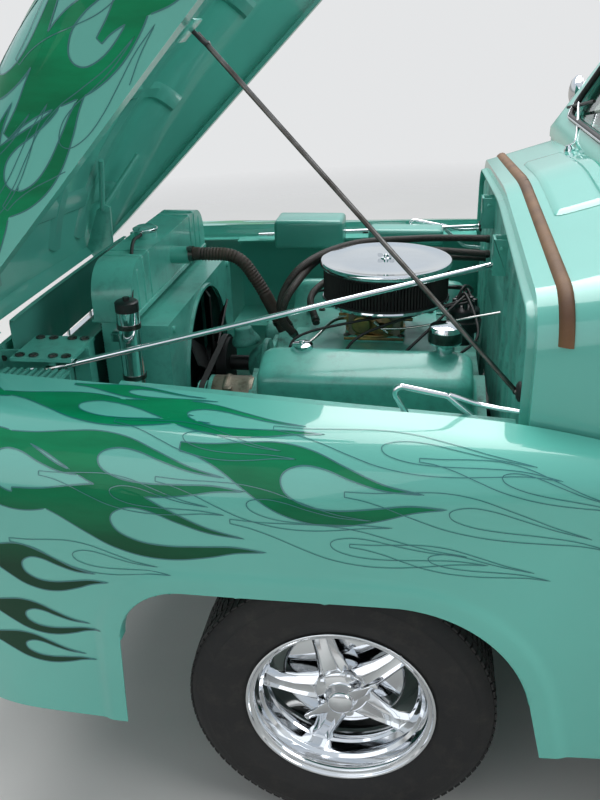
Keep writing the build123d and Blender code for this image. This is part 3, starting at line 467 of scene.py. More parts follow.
class Shape:
    """Loose geometry for one piece: points, faces and the number of each face's finish."""

    def __init__(self):
        self.points, self.faces, self.kinds = [], [], []

    def add(self, points, faces, kind=0):
        start = len(self.points)
        self.points += [Vector(p) for p in points]
        self.faces += [[start + i for i in face] for face in faces]
        self.kinds += [kind] * len(faces)
        return self

    def rows(self, rows, kind=0, ring=False, caps=False):
        """A skin over rows of points, each row closed where ring is set."""
        wide = len(rows[0])
        across = wide if ring else wide - 1
        faces = []
        for r in range(len(rows) - 1):
            for c in range(across):
                d = (c + 1) % wide
                faces.append([r * wide + c, r * wide + d, (r + 1) * wide + d, (r + 1) * wide + c])
        if caps:
            faces.append(list(range(wide))[::-1])
            faces.append([(len(rows) - 1) * wide + c for c in range(wide)])
        return self.add([p for row in rows for p in row], faces, kind)

    def lathe(self, profile, origin, axis, sides=48, kind=0, caps=True):
        """A turned shape: (along, radius) from origin along axis, in millimetres."""
        axis = Vector(axis).normalized()
        one = axis.orthogonal().normalized()
        two = axis.cross(one)
        rows = []
        for along, radius in profile:
            ring = []
            for k in range(sides):
                turn = 2 * math.pi * k / sides
                out = (one * math.cos(turn) + two * math.sin(turn)) * max(radius, 0.01) * MM
                ring.append(Vector(origin) + axis * along * MM + out)
            rows.append(ring)
        return self.rows(rows, kind, ring=True, caps=caps)

    def prism(self, line, place, low, high, kind=0):
        """A slab between low and high, from a closed 2-D line and a function that places it."""
        count = len(line)
        points = [place(u, v, w) for w in (low, high) for u, v in line]
        faces = [[i, (i + 1) % count, count + (i + 1) % count, count + i] for i in range(count)]
        faces += [list(range(count))[::-1], list(range(count, 2 * count))]
        return self.add(points, faces, kind)

    def box(self, x0, x1, y0, y1, z0, z1, kind=0):
        """A box between two corners, in millimetres."""
        return self.prism([(x0, y0), (x1, y0), (x1, y1), (x0, y1)], at, z0, z1, kind)

    def turned(self, centre, axis, degrees, start=0):
        """Turns the points from index start about a line."""
        turn = Matrix.Translation(centre) @ Matrix.Rotation(math.radians(degrees), 4, axis)
        turn = turn @ Matrix.Translation(-Vector(centre))
        for i in range(start, len(self.points)):
            self.points[i] = turn @ self.points[i]
        return self

    def mirrored(self):
        """The same shape with its twin on the other side."""
        count = len(self.points)
        self.points += [Vector((p.x, -p.y, p.z)) for p in self.points]
        self.faces += [[count + i for i in face[::-1]] for face in self.faces]
        self.kinds += self.kinds
        return self

    def make(self, name, finishes, body, wall=0.0, bevel=0.0, levels=0, outward=True, angle=35,
             slot=None, replaces=(), steps=2):
        """Finishes the shape: merged, faced outwards, given its wall, bevel and smoothing."""
        mesh = bpy.data.meshes.new(name)
        mesh.from_pydata([tuple(p) for p in self.points], [], self.faces)
        mesh.polygons.foreach_set("material_index", self.kinds)
        work = bmesh.new()
        work.from_mesh(mesh)
        bmesh.ops.remove_doubles(work, verts=work.verts, dist=0.00002)
        if outward:
            bmesh.ops.recalc_face_normals(work, faces=work.faces)
        work.to_mesh(mesh)
        work.free()
        if wall or bevel or levels:
            base = put("base", mesh)
            if wall:
                solid = base.modifiers.new("wall", "SOLIDIFY")
                solid.thickness, solid.offset = wall * MM, -1.0
            if bevel:
                edge = base.modifiers.new("bevel", "BEVEL")
                edge.width, edge.segments, edge.limit_method = bevel * MM, steps, "ANGLE"
                edge.angle_limit = math.radians(32)
                edge.harden_normals = False
            if levels:
                soft = base.modifiers.new("soft", "SUBSURF")
                soft.levels = soft.render_levels = levels
            mesh = applied(base)
        return settle(name, mesh, finishes, body, angle, replaces)


def base_mesh(points, faces=(), aims=None):
    """A plain object for a tree to grow from."""
    mesh = bpy.data.meshes.new("base")
    mesh.from_pydata([tuple(p) for p in points], [], [tuple(f) for f in faces])
    if aims:
        aim = mesh.attributes.new("aim", "FLOAT_VECTOR", "POINT")
        aim.data.foreach_set("vector", np.array([tuple(a) for a in aims], np.float32).ravel())
    return put("base", mesh)


def tubes(name, paths, radius, finish, body, kind="NURBS", sides=14, **more):
    """Tubes along paths of points in millimetres; smooth ones are NURBS lines."""
    curve = bpy.data.curves.new("path", "CURVE")
    curve.dimensions = "3D"
    curve.resolution_u = 10
    for path in paths:
        spline = curve.splines.new(kind)
        spline.points.add(len(path) - 1)
        for spot, p in zip(spline.points, path):
            spot.co = (*at(*p), 1.0)
        if kind == "NURBS":
            spline.order_u = 3
            spline.use_endpoint_u = True
    base = put("path", curve)
    return TREES["tube"].grow(name, base, finish, body, Radius=radius * MM, Sides=sides, **more)


def bent(points, radii, steps=5):
    """A 3-D line of straight runs with rounded corners, in millimetres."""
    line = [Vector(points[0])]
    for before, corner, after, radius in zip(points, points[1:], points[2:], radii):
        corner = Vector(corner)
        start = corner + (Vector(before) - corner).normalized() * radius
        stop = corner + (Vector(after) - corner).normalized() * radius
        for k in range(steps + 1):
            t = k / steps
            line.append(start * (1 - t) ** 2 + corner * 2 * t * (1 - t) + stop * t * t)
    line.append(Vector(points[-1]))
    return [tuple(p) for p in line]


def bolts(name, spots, radius, height, finish, body, sides=6, **more):
    """Bolt heads at (point in millimetres, direction) spots."""
    base = base_mesh([at(*p) for p, _ in spots], (), [a for _, a in spots])
    return TREES["bolts"].grow(name, base, finish, body, Radius=radius * MM, Height=height * MM, Sides=sides,
                               **more)


def row(name, shape, count, step, finish, body, **more):
    """A row of one shape, step millimetres apart."""
    base = base_mesh(shape.points, shape.faces)
    return TREES["row"].grow(name, base, finish, body, Count=count, Step=[c * MM for c in step], **more)


def ring(name, shape, count, centre, axis, finish, body, **more):
    """A ring of one shape about centre; the shape's points are measured from there."""
    base = base_mesh(shape.points, shape.faces)
    return TREES["ring"].grow(name, base, finish, body, Count=count, Centre=list(centre), Axis=list(axis),
                              **more)


# Body sections, as the frame has them
FENDER = np.array([
    (-556, 880, 1004, 945, 50, 925, 330),
    (-345, 822, 1018, 947, 90, 935, 330),
    (0, 776, 1020, 950, 140, 940, 330),
    (350, 723, 1020, 950, 150, 940, 330),
    (620, 688, 1020, 942, 150, 930, 330),
    (800, 650, 1012, 915, 140, 905, 350),
    (900, 612, 996, 872, 120, 862, 390),
], float)
HOOD = np.array([
    (-345, 1238, 105, 1287),
    (0, 1230, 105, 1285),
    (350, 1212, 110, 1268),
    (620, 1170, 110, 1226),
    (800, 1105, 80, 1150),
    (930, 1024, 18, 1046),
], float)
FENDER_RISE = 22
HOOD_GAP = 8
HOOD_LOW = 998
CROWN_R = 1500
HOOD_AXIS = at(927, 0, 940)
HOOD_OPEN = 45


def natural(table, column):
    """A smooth line through one column of a table, as a function of x."""
    x, y = table[:, 0], table[:, column]
    n = len(x)
    gap = np.diff(x)
    matrix = np.eye(n)
    right = np.zeros(n)
    for i in range(1, n - 1):
        matrix[i, i - 1 : i + 2] = gap[i - 1], 2 * (gap[i - 1] + gap[i]), gap[i]
        right[i] = 6 * ((y[i + 1] - y[i]) / gap[i] - (y[i] - y[i - 1]) / gap[i - 1])
    bend = np.linalg.solve(matrix, right)

    def line(value):
        i = int(np.clip(np.searchsorted(x, value) - 1, 0, n - 2))
        a, b = x[i + 1] - value, value - x[i]
        g = gap[i]
        return (
            (bend[i] * a**3 + bend[i + 1] * b**3) / (6 * g)
            + (y[i] / g - bend[i] * g / 6) * a
            + (y[i + 1] / g - bend[i + 1] * g / 6) * b
        )

    return line


FENDER_LINES = [natural(FENDER, c) for c in range(1, 7)]
HOOD_LINES = [natural(HOOD, c) for c in range(1, 4)]
ARCH = rounded([(458, 150), (432, 690), (-330, 690), (-452, 150)], [0, 140, 280, 0], 14.0, closed=False)


def fender_edge(x):
    """How far out the fender's inner edge is at station x."""
    return float(np.interp(x, FENDER[:, 0], FENDER[:, 1])) - 0.38 * max(0.0, x - 900)


def along_section(corners, radii, s):
    """The point and outward normal at distance s along a rounded 2-D line."""
    points = [np.array(p, float) for p in corners]
    for i in range(len(points) - 1):
        a, b = points[i], points[i + 1]
        run = b - a
        length = np.linalg.norm(run)
        way = run / length
        trim_a = trim_b = 0.0
        if i > 0:
            before = (a - points[i - 1]) / np.linalg.norm(a - points[i - 1])
            turn = math.acos(np.clip(before @ way, -1, 1))
            trim_a = radii[i] * math.tan(turn / 2)
        if i < len(points) - 2:
            after = (points[i + 2] - b) / np.linalg.norm(points[i + 2] - b)
            turn = math.acos(np.clip(way @ after, -1, 1))
            trim_b = radii[i + 1] * math.tan(turn / 2)
        straight = length - trim_a - trim_b
        out = np.array([-way[1], way[0]])
        if s <= straight or i == len(points) - 2:
            return a + way * (trim_a + s), out
        s -= straight
        arc = radii[i + 1] * turn
        if s <= arc:
            start = a + way * (length - trim_b)
            spin = np.sign(way[0] * after[1] - way[1] * after[0])
            centre = start + np.array([-way[1], way[0]]) * spin * radii[i + 1]
            angle = spin * s / radii[i + 1]
            c, k = math.cos(angle), math.sin(angle)
            arm = start - centre
            arm = np.array([arm[0] * c - arm[1] * k, arm[0] * k + arm[1] * c])
            return centre + arm, -arm * spin / radii[i + 1]
        s -= arc
    return points[-1], out


ARCH_POINTS = np.array(ARCH)


def arch_distance(x, z):
    """How far a side point is from the wheel arch's edge, and the nearest point on it."""
    a, b = ARCH_POINTS[:-1], ARCH_POINTS[1:]
    run = b - a
    share = np.clip(((np.array([x, z]) - a) * run).sum(1) / (run * run).sum(1), 0, 1)
    near = a + run * share[:, None]
    gaps = np.hypot(near[:, 0] - x, near[:, 1] - z)
    k = int(gaps.argmin())
    return float(gaps[k]), near[k]


def in_arch(x, z):
    """True inside the wheel arch."""
    inside = False
    count = len(ARCH_POINTS)
    for i in range(count):
        (x0, z0), (x1, z1) = ARCH_POINTS[i], ARCH_POINTS[(i + 1) % count]
        if (z0 > z) != (z1 > z) and x < (x1 - x0) * (z - z0) / (z1 - z0) + x0:
            inside = not inside
    return inside


def fender_surface(x, s, lift=0.0):
    """The left fender's outer surface: s is the distance out and down from its inner edge."""
    edge, crown, out, radius, foot_y, foot_z = [line(x) for line in FENDER_LINES]
    corners = [(edge, crown), (out, crown - FENDER_RISE), (foot_y, foot_z)]
    (y, z), (ny, nz) = along_section(corners, [0, radius, 0], s)
    if z < 860:
        gap, _ = arch_distance(x, z)
        raised = np.clip(1 - (gap - 34) / 22, 0, 1) if not in_arch(x, z) else 1.0
        lift = lift + 6.0 * raised * raised * (3 - 2 * raised)
    return Vector(at(x, y + ny * lift, z + nz * lift))


def fender_length(x):
    """How long the fender's section is at station x."""
    edge, crown, out, radius, foot_y, foot_z = [line(x) for line in FENDER_LINES]
    a, b, c = (np.array(p) for p in ((edge, crown), (out, crown - FENDER_RISE), (foot_y, foot_z)))
    one, two = b - a, c - b
    turn = math.acos(one @ two / np.linalg.norm(one) / np.linalg.norm(two))
    trim = radius * math.tan(turn / 2)
    return float(np.linalg.norm(one) + np.linalg.norm(two) - 2 * trim + radius * turn)


def opened(point):
    """Where a point of the closed hood is in the photographed pose."""
    turn = Matrix.Rotation(math.radians(HOOD_OPEN), 3, "Y")
    return HOOD_AXIS + turn @ (Vector(point) - HOOD_AXIS)


def hood_corners(x):
    """The hood's section at station x, from its left lower edge to its middle."""
    corner, radius, crown = [line(x) for line in HOOD_LINES]
    half = fender_edge(x) - HOOD_GAP
    return [(half, HOOD_LOW), (half, corner), (0, crown), (-half, corner)], [0, radius, CROWN_R, 0]


def hood_surface(x, s, lift=0.0):
    """The closed hood's left half: s is the distance up and in from its lower edge."""
    corners, radii = hood_corners(x)
    (y, z), (ny, nz) = along_section(corners, radii, s)
    return Vector(at(x, y - ny * lift, z - nz * lift))


def hood_length(x):
    """The length of the hood's section from its lower edge to its middle."""
    low, high = 0.0, 1600.0
    for _ in range(30):
        mid = (low + high) / 2
        corners, radii = hood_corners(x)
        (y, _), _ = along_section(corners, radii, mid)
        low, high = (mid, high) if y > 0 else (low, mid)
    return low


# Flames: a closed outline of (along, across, sharp) for one fork, drawn rearwards from its stem
FORK = [
    (0.0, -0.01, 1), (0.13, -0.03, 0), (0.27, -0.07, 0), (0.41, -0.1, 0), (0.55, -0.085, 0),
    (0.69, -0.025, 0), (0.84, 0.035, 0), (1.0, 0.06, 1),
    (0.85, 0.064, 0), (0.72, 0.036, 0), (0.61, 0.0, 0), (0.52, -0.004, 0), (0.45, 0.035, 0),
    (0.43, 0.09, 0), (0.46, 0.15, 0), (0.55, 0.188, 0), (0.67, 0.186, 0), (0.81, 0.155, 0),
    (0.95, 0.122, 0), (1.09, 0.118, 1),
    (0.96, 0.156, 0), (0.84, 0.212, 0), (0.70, 0.262, 0), (0.56, 0.276, 0), (0.42, 0.245, 0),
    (0.30, 0.175, 0), (0.18, 0.095, 0), (0.08, 0.05, 0), (0.0, 0.036, 1),
]
# Stem x, stem distance s, length, width of each fork on the fender
FENDER_FORKS = [
    (700, 72, 420, 260), (470, 62, 410, 240), (820, 225, 360, 420), (630, 190, 430, 300),
    (290, 160, 450, 380), (615, 300, 450, 380), (740, 452, 270, 280), (745, 586, 245, 215),
    (755, 672, 235, 190), (560, 14, 290, 130),
]
FENDER_GHOSTS = [
    (120, 88, 470, 220), (-20, 196, 430, 210), (190, 286, 430, 210), (-30, 300, 330, 150),
    (430, 128, 330, 180), (560, 258, 330, 170), (640, 415, 300, 180), (330, 232, 400, 190),
    (-150, 120, 330, 150),
]
# The painted front of the fender, with a sharp stem for each fork
FENDER_FRONT = [
    (896, 4, 1), (820, 12, 0), (752, 40, 0), (676, 86, 1), (752, 96, 0), (812, 118, 0), (836, 160, 0),
    (826, 205, 0), (776, 228, 1), (822, 262, 0), (846, 330, 0), (842, 400, 0), (800, 452, 0),
    (704, 472, 1), (790, 490, 0), (832, 530, 0), (812, 582, 0), (716, 598, 1), (796, 612, 0),
    (830, 645, 0), (806, 680, 0), (724, 692, 1), (802, 706, 0), (850, 730, 0), (896, 722, 1),
]
HOOD_FORKS = [
    (800, 94, 400, 300), (560, 100, 420, 320), (700, 190, 420, 330), (300, 130, 460, 340),
    (420, 250, 440, 340), (40, 90, 320, 260), (120, 300, 420, 360), (620, 360, 430, 360),
    (330, 460, 440, 380), (720, 520, 420, 360), (60, 560, 330, 320), (450, 640, 440, 360),
]
HOOD_GHOSTS = [
    (660, 130, 430, 260), (420, 60, 430, 250), (180, 190, 430, 330), (520, 300, 430, 300),
    (240, 380, 420, 300), (560, 460, 420, 300), (20, 240, 300, 260),
]
HOOD_FRONT = [
    (912, 10, 1), (872, 18, 0), (770, 62, 1), (850, 84, 0), (872, 120, 0), (850, 160, 0), (690, 196, 1),
    (800, 230, 0), (838, 280, 0), (800, 330, 0), (610, 366, 1), (770, 400, 0), (800, 450, 0),
    (780, 490, 0), (700, 528, 1), (780, 560, 0), (826, 600, 0), (912, 570, 1),
]


def smooth_line(points, per=7):
    """A closed smooth line through (x, y, sharp) points."""
    spots = [Vector(p[:2]) for p in points]
    count = len(spots)
    line = []
    for i in range(count):
        j = (i + 1) % count
        a, b = spots[i], spots[j]
        leave = (b - a) if points[i][2] else (b - spots[i - 1]) / 2
        reach = (b - a) if points[j][2] else (spots[(j + 1) % count] - a) / 2
        for k in range(per):
            t = k / per
            line.append(
                a * (2 * t**3 - 3 * t**2 + 1) + leave * (t**3 - 2 * t**2 + t)
                + b * (3 * t**2 - 2 * t**3) + reach * (t**3 - t**2)
            )
    return line


def fork_line(x, s, length, width, flip):
    """A fork's outline on a panel, as (x, s)."""
    return smooth_line([(x - u * length, s + flip * v * width, sharp) for u, v, sharp in FORK])


def inside_line(line, p):
    """True where p is inside a closed 2-D line."""
    inside = False
    for a, b in zip(line, line[1:] + line[:1]):
        if (a.y > p.y) != (b.y > p.y) and p.x < (b.x - a.x) * (p.y - a.y) / (b.y - a.y) + a.x:
            inside = not inside
    return inside


def decal(shape, line, panel, lift, kind, cell=15.0):
    """Fills a closed line with paint on a panel."""
    xs, ys = [p.x for p in line], [p.y for p in line]
    points = [p.copy() for p in line]
    for x in np.arange(min(xs) + cell / 2, max(xs), cell):
        for y in np.arange(min(ys) + cell / 2, max(ys), cell):
            p = Vector((x, y))
            if inside_line(line, p) and min((q - p).length for q in line) > cell * 0.35:
                points.append(p)
    made = delaunay_2d_cdt(points, [], [list(range(len(line)))], 1, 0.01)
    shape.add([panel(p.x, p.y, lift) for p in made[0]], [list(f) for f in made[2]], kind)


def ribbon(shape, line, panel, lift, width, kind, hidden=(), limits=None):
    """A fine painted line along a closed line, left out inside the hidden outlines."""
    count = len(line)
    shown = []
    for i, p in enumerate(line):
        ok = not any(inside_line(other, p) for other in hidden)
        shown.append(ok and (limits is None or limits(p)))
    for i in range(count):
        j = (i + 1) % count
        if not (shown[i] and shown[j]):
            continue
        corners = []
        for k in (i, j):
            way = line[(k + 1) % count] - line[k - 1]
            side = Vector((-way.y, way.x)).normalized() * width / 2 if way.length else Vector((0, width / 2))
            corners.append((line[k] + side, line[k] - side))
        quad = [corners[0][0], corners[0][1], corners[1][1], corners[1][0]]
        shape.add([panel(q.x, q.y, lift) for q in quad], [[0, 1, 2, 3]], kind)


def painted(name, panel, front, forks, ghosts, flip, body, width, limits=None, opening=None):
    """Flames with pinstripes, and ghost pinstripes, on both sides of one panel."""
    fills, lines = Shape(), Shape()
    outlines = [fork_line(*fork, flip) for fork in forks]
    if front:
        outlines.append(smooth_line(front))
    for i, line in enumerate(outlines):
        decal(fills, line, panel, 0.35 + 0.03 * i, 0)
        others = [other for other in outlines if other is not line]
        ribbon(lines, line, panel, 0.8, width, 0, others, limits)
    for ghost in ghosts:
        ribbon(lines, fork_line(*ghost, flip), panel, 0.95, width * 0.62, 1, (), limits)
    for shape in (fills, lines):
        shape.mirrored()
        if opening:
            shape.points = [opening(p) for p in shape.points]
    face_out(fills, body)
    face_out(lines, body)
    fills.make(name + "_flames", ["CandyFlame"], body, outward=False, angle=60)
    lines.make(name + "_pinstripes", ["Pinstripe", "GhostStripe"], body, outward=False, angle=60)


def face_out(shape, body):
    """Turns each loose face away from the truck's middle line."""
    heart = at(200, 0, 700) if body == "chassis" else opened(at(200, 0, 700))
    for face in shape.faces:
        a, b, c = (shape.points[i] for i in face[:3])
        if (b - a).cross(c - a).dot(a - heart) < 0:
            face.reverse()


def build_fenders(paint, sizes):
    """Front fenders with rolled arch lips and rain gutters."""
    xs = np.linspace(-556, 900, 161)
    cells = 82
    points, snapped, inside = [], [], []
    for x in xs:
        length = fender_length(x)
        for k in range(cells + 1):
            p = fender_surface(x, length * k / cells)
            px, pz = (p.x - FRONT_AXLE) / MM, p.z / MM
            hole = pz < 700 and in_arch(px, pz)
            near = False
            if hole:
                gap, spot = arch_distance(px, pz)
                if gap < 13.0:
                    near = True
                    out, foot_y, foot_z = (FENDER_LINES[i](spot[0]) for i in (2, 4, 5))
                    crown = FENDER_LINES[1](spot[0]) - FENDER_RISE
                    share = (spot[1] - foot_z) / (crown - foot_z)
                    p = at(spot[0], foot_y + (out - foot_y) * share + 6.0, max(spot[1], 330))
            points.append(p)
            inside.append(hole)
            snapped.append(near)
    wide = cells + 1
    skin = Shape()
    faces = []
    for i in range(len(xs) - 1):
        for k in range(cells):
            quad = [i * wide + k, i * wide + k + 1, (i + 1) * wide + k + 1, (i + 1) * wide + k]
            if all(not inside[q] or snapped[q] for q in quad) and not all(snapped[q] for q in quad):
                faces.append(quad)
    used = sorted({q for face in faces for q in face})
    index = {q: n for n, q in enumerate(used)}
    skin.add([points[q] for q in used], [[index[q] for q in face] for face in faces])
    skin.mirrored()
    face_out(skin, "chassis")
    skin.make("front_fender_skins", ["SeafoamEnamel"], "chassis", wall=2.4, outward=False, angle=50,
              slot="flamed_paint", replaces=["front_fenders"])
    trim = Shape()
    lip = []
    for x, z in ARCH:
        if z < 328:
            continue
        out, foot_y, foot_z = (FENDER_LINES[i](x) for i in (2, 4, 5))
        crown = FENDER_LINES[1](x) - FENDER_RISE
        y = foot_y + (out - foot_y) * (z - foot_z) / (crown - foot_z) + 6.0
        inward = Vector((0 - x, 0, 420 - z)).normalized()
        lip.append([at(x, y, z), at(x + inward.x * 2, y - 3, z + inward.z * 2),
                    at(x + inward.x * 2, y - 30, z + inward.z * 2), at(x - inward.x, y - 30, z - inward.z),
                    at(x - inward.x, y - 3, z - inward.z)])
    trim.rows(lip, 0, ring=True, caps=True)
    gutter = []
    for x in np.linspace(-340, 800, 58):
        edge, crown = FENDER_LINES[0](x), FENDER_LINES[1](x)
        gutter.append([at(x, edge + 1, crown), at(x, edge, crown - 4), at(x, edge, 984), at(x, edge - 3, 980),
                       at(x, edge - 36, 980), at(x, edge - 38, 977), at(x, edge - 36, 974),
                       at(x, edge + 3, 974),
                       at(x, edge + 4, crown - 4)])
    trim.rows(gutter, 0, ring=True, caps=True)
    trim.mirrored()
    trim.make("front_fender_edges", ["SeafoamEnamel"], "chassis", angle=40, slot="flamed_paint")
    flare = Shape()
    rows = []
    for x, z in ARCH:
        if z < 328:
            continue
        inward = Vector((0 - x, 0, 420 - z)).normalized()
        band = []
        for reach, lift in ((0, 6.0), (7, 6.0), (17, 5.6), (27, 3.8), (34, 1.4), (38, 0.2)):
            px, pz = x - inward.x * reach, z - inward.z * reach
            out, foot_y, foot_z = (FENDER_LINES[i](px) for i in (2, 4, 5))
            crown = FENDER_LINES[1](px) - FENDER_RISE
            band.append(at(px, foot_y + (out - foot_y) * (pz - foot_z) / (crown - foot_z) + lift, pz))
        rows.append(band)
    flare.rows(rows)
    flare.mirrored()
    face_out(flare, "chassis")
    flare.make("arch_flares", ["SeafoamEnamel"], "chassis", outward=False, angle=60, slot="flamed_paint")

    def over_lip(p):
        spot = fender_surface(p.x, p.y)
        x, z = (spot.x - FRONT_AXLE) / MM, spot.z / MM
        clear = z > 760 or (not in_arch(x, z) and arch_distance(x, z)[0] > 12)
        return -548 < p.x < 892 and z > 338 and clear

    painted("fender", fender_surface, FENDER_FRONT, FENDER_FORKS, FENDER_GHOSTS, 1, "chassis",
            sizes.pinstripe / MM, over_lip)


def build_hood(paint, sizes):
    """The hood, its underside frame, hinge arms, hook and flames."""
    xs = list(np.linspace(-341, 930, 120))
    outer = []
    for x in xs:
        length = hood_length(x)
        half = [hood_surface(x, length * k / 52) for k in range(53)]
        outer.append(half + [Vector((p.x, -p.y, p.z)) for p in half[-2::-1]])
    skin = Shape().rows(outer)
    nose = outer[-1]
    skin.add([Vector((p.x, p.y, p.z)) for p in nose], [list(range(len(nose)))])
    skin.points = [opened(p) for p in skin.points]
    skin.make("hood_skin", ["SeafoamEnamel"], "hood", wall=3.0, angle=38, slot="flamed_paint",
              replaces=["hood"])
    frame_ = Shape()
    flange = []
    for x in np.linspace(-320, 905, 70):
        half = fender_edge(x) - HOOD_GAP
        flange.append([at(x, half - 3, HOOD_LOW), at(x, half - 3, HOOD_LOW + 4),
                       at(x, half - 40, HOOD_LOW + 4),
                       at(x, half - 40, HOOD_LOW + 14), at(x, half - 43, HOOD_LOW + 14),
                       at(x, half - 43, HOOD_LOW)])
    frame_.rows(flange, 0, ring=True, caps=True)
    frame_.mirrored()
    # Ribs that follow the underside: along the hood, and across it
    for share in (0.42, 0.7):
        for sign in (1, -1):
            rib = []
            for x in np.linspace(-325, 880, 50):
                length = hood_length(x)
                a = [hood_surface(x, length * share + d, -lift) for d, lift in
                     ((-34, 4), (-20, 20), (20, 20), (34, 4), (34, 3.2), (-34, 3.2))]
                rib.append([Vector((p.x, p.y * sign, p.z)) for p in a])
            frame_.rows(rib, 0, ring=True, caps=True)
    for x0 in (-292, 40, 420, 780):
        rib = []
        for k in range(8, 97):
            sign = 1 if k <= 52 else -1
            share = k if k <= 52 else 104 - k
            a = []
            for d, lift in ((-30, 4), (-17, 17), (17, 17), (30, 4), (30, 3.2), (-30, 3.2)):
                x = x0 + d
                p = hood_surface(x, hood_length(x) * share / 52, -lift)
                a.append(Vector((p.x, p.y * sign, p.z)))
            rib.append(a)
        frame_.rows(rib, 0, ring=True, caps=True)
    frame_.points = [opened(p) for p in frame_.points]
    frame_.make("hood_inner_frame", ["SeafoamInner"], "hood", angle=40)
    arms = Shape()
    for sign in (1, -1):
        line = rounded([(907, 920), (947, 920), (931, 1024), (800, 1078), (770, 1074), (760, 1052)],
                       [14, 14, 10, 8, 8, 4], 6.0)
        arms.prism([(x, z) for x, z in line], lambda u, v, w: at(u, w, v), sign * 450 - 6, sign * 450 + 6)
    arms.box(-85, -35, 646.5, 700, 998, 1003)
    arms.points = [opened(p) for p in arms.points]
    arms.make("hood_arms", ["SeafoamEngine"], "hood", bevel=1.5, slot="body_paint")
    hook = bent([(-60, 652, 1001), (-60, 652, 972), (-60, 640, 962), (-60, 628, 970)], [9, 7])
    hook = [tuple((opened(at(*p)) - at(0, 0, 0)) / MM) for p in hook]
    tubes("hood_hook", [hook], 4.2, "BlackPlastic", "hood", "POLY", slot="frame_black")
    rods = []
    for sign in (1, -1):
        for a, b in (((786, 447, 1066), (640, 390, 1156)), ((786, 453, 1066), (600, 560, 1105))):
            ends = [(p[0], sign * p[1], p[2]) for p in (a, b)]
            rods.append([tuple((opened(at(*p)) - at(0, 0, 0)) / MM) for p in ends])
    tubes("hood_stay_tubes", rods, 9.0, "SeafoamEngine", "hood", "POLY", slot="body_paint")

    def on_hood(p):
        return -330 < p.x < 915 and p.y > 6

    painted("hood", hood_surface, HOOD_FRONT, HOOD_FORKS, HOOD_GHOSTS, -1, "hood", sizes.pinstripe / MM,
            on_hood, opened)


# Panels left as the frame has them: their finish
CAD_FINISHES = {
    "SeafoamEnamel": "cab cowl door_left door_right front_panel load_box rear_fenders tailgate",
    "SeafoamInner": "inner_fenders dashboard steering_column",
    "SeafoamEngine": "fan_shroud hood_hinge_brackets radiator intake_manifold",
    "SeafoamCast": "engine_block",
    "Chrome": "front_bumper rear_bumper grille headlamp_bezels overflow_can chrome_rods",
    "DarkSteel": "prop_rod",
    "FrameBlack": "cross_members frame_rails fuel_tank knuckle_left knuckle_right leaf_springs rear_axle "
                  "suspension_arms running_boards",
    "CoreBlack": "fan",
    "Exhaust": "exhaust",
    "ClearGlass": "cab_glass door_glass_left door_glass_right",
    "LampGlass": "headlamp_lenses",
    "RedLens": "tail_lamps",
    "BlackPlastic": "steering_wheel",
    "CastAlloy": "carburettor",
    "SeatVinyl": "seat_back seat_cushion",
    "TyreRubber": "tyre_front_left tyre_front_right tyre_rear_left tyre_rear_right",
    "WornChrome": "rim_front_left rim_front_right rim_rear_left rim_rear_right air_cleaner oil_caps",
}


def dress_frame(paint, sizes):
    """The finish of every CAD node, with clean shading."""
    for finish, nodes in CAD_FINISHES.items():
        for node in nodes.split():
            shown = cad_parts[node]
            shown.data.materials.clear()
            shown.data.materials.append(use(finish))
            maker = shown.modifiers.new("clean", "NODES")
            maker.node_group = TREES["clean"].group
            maker[TREES["clean"].labels["Finish"]] = use(finish)
    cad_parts["valve_covers"].data.materials.clear()


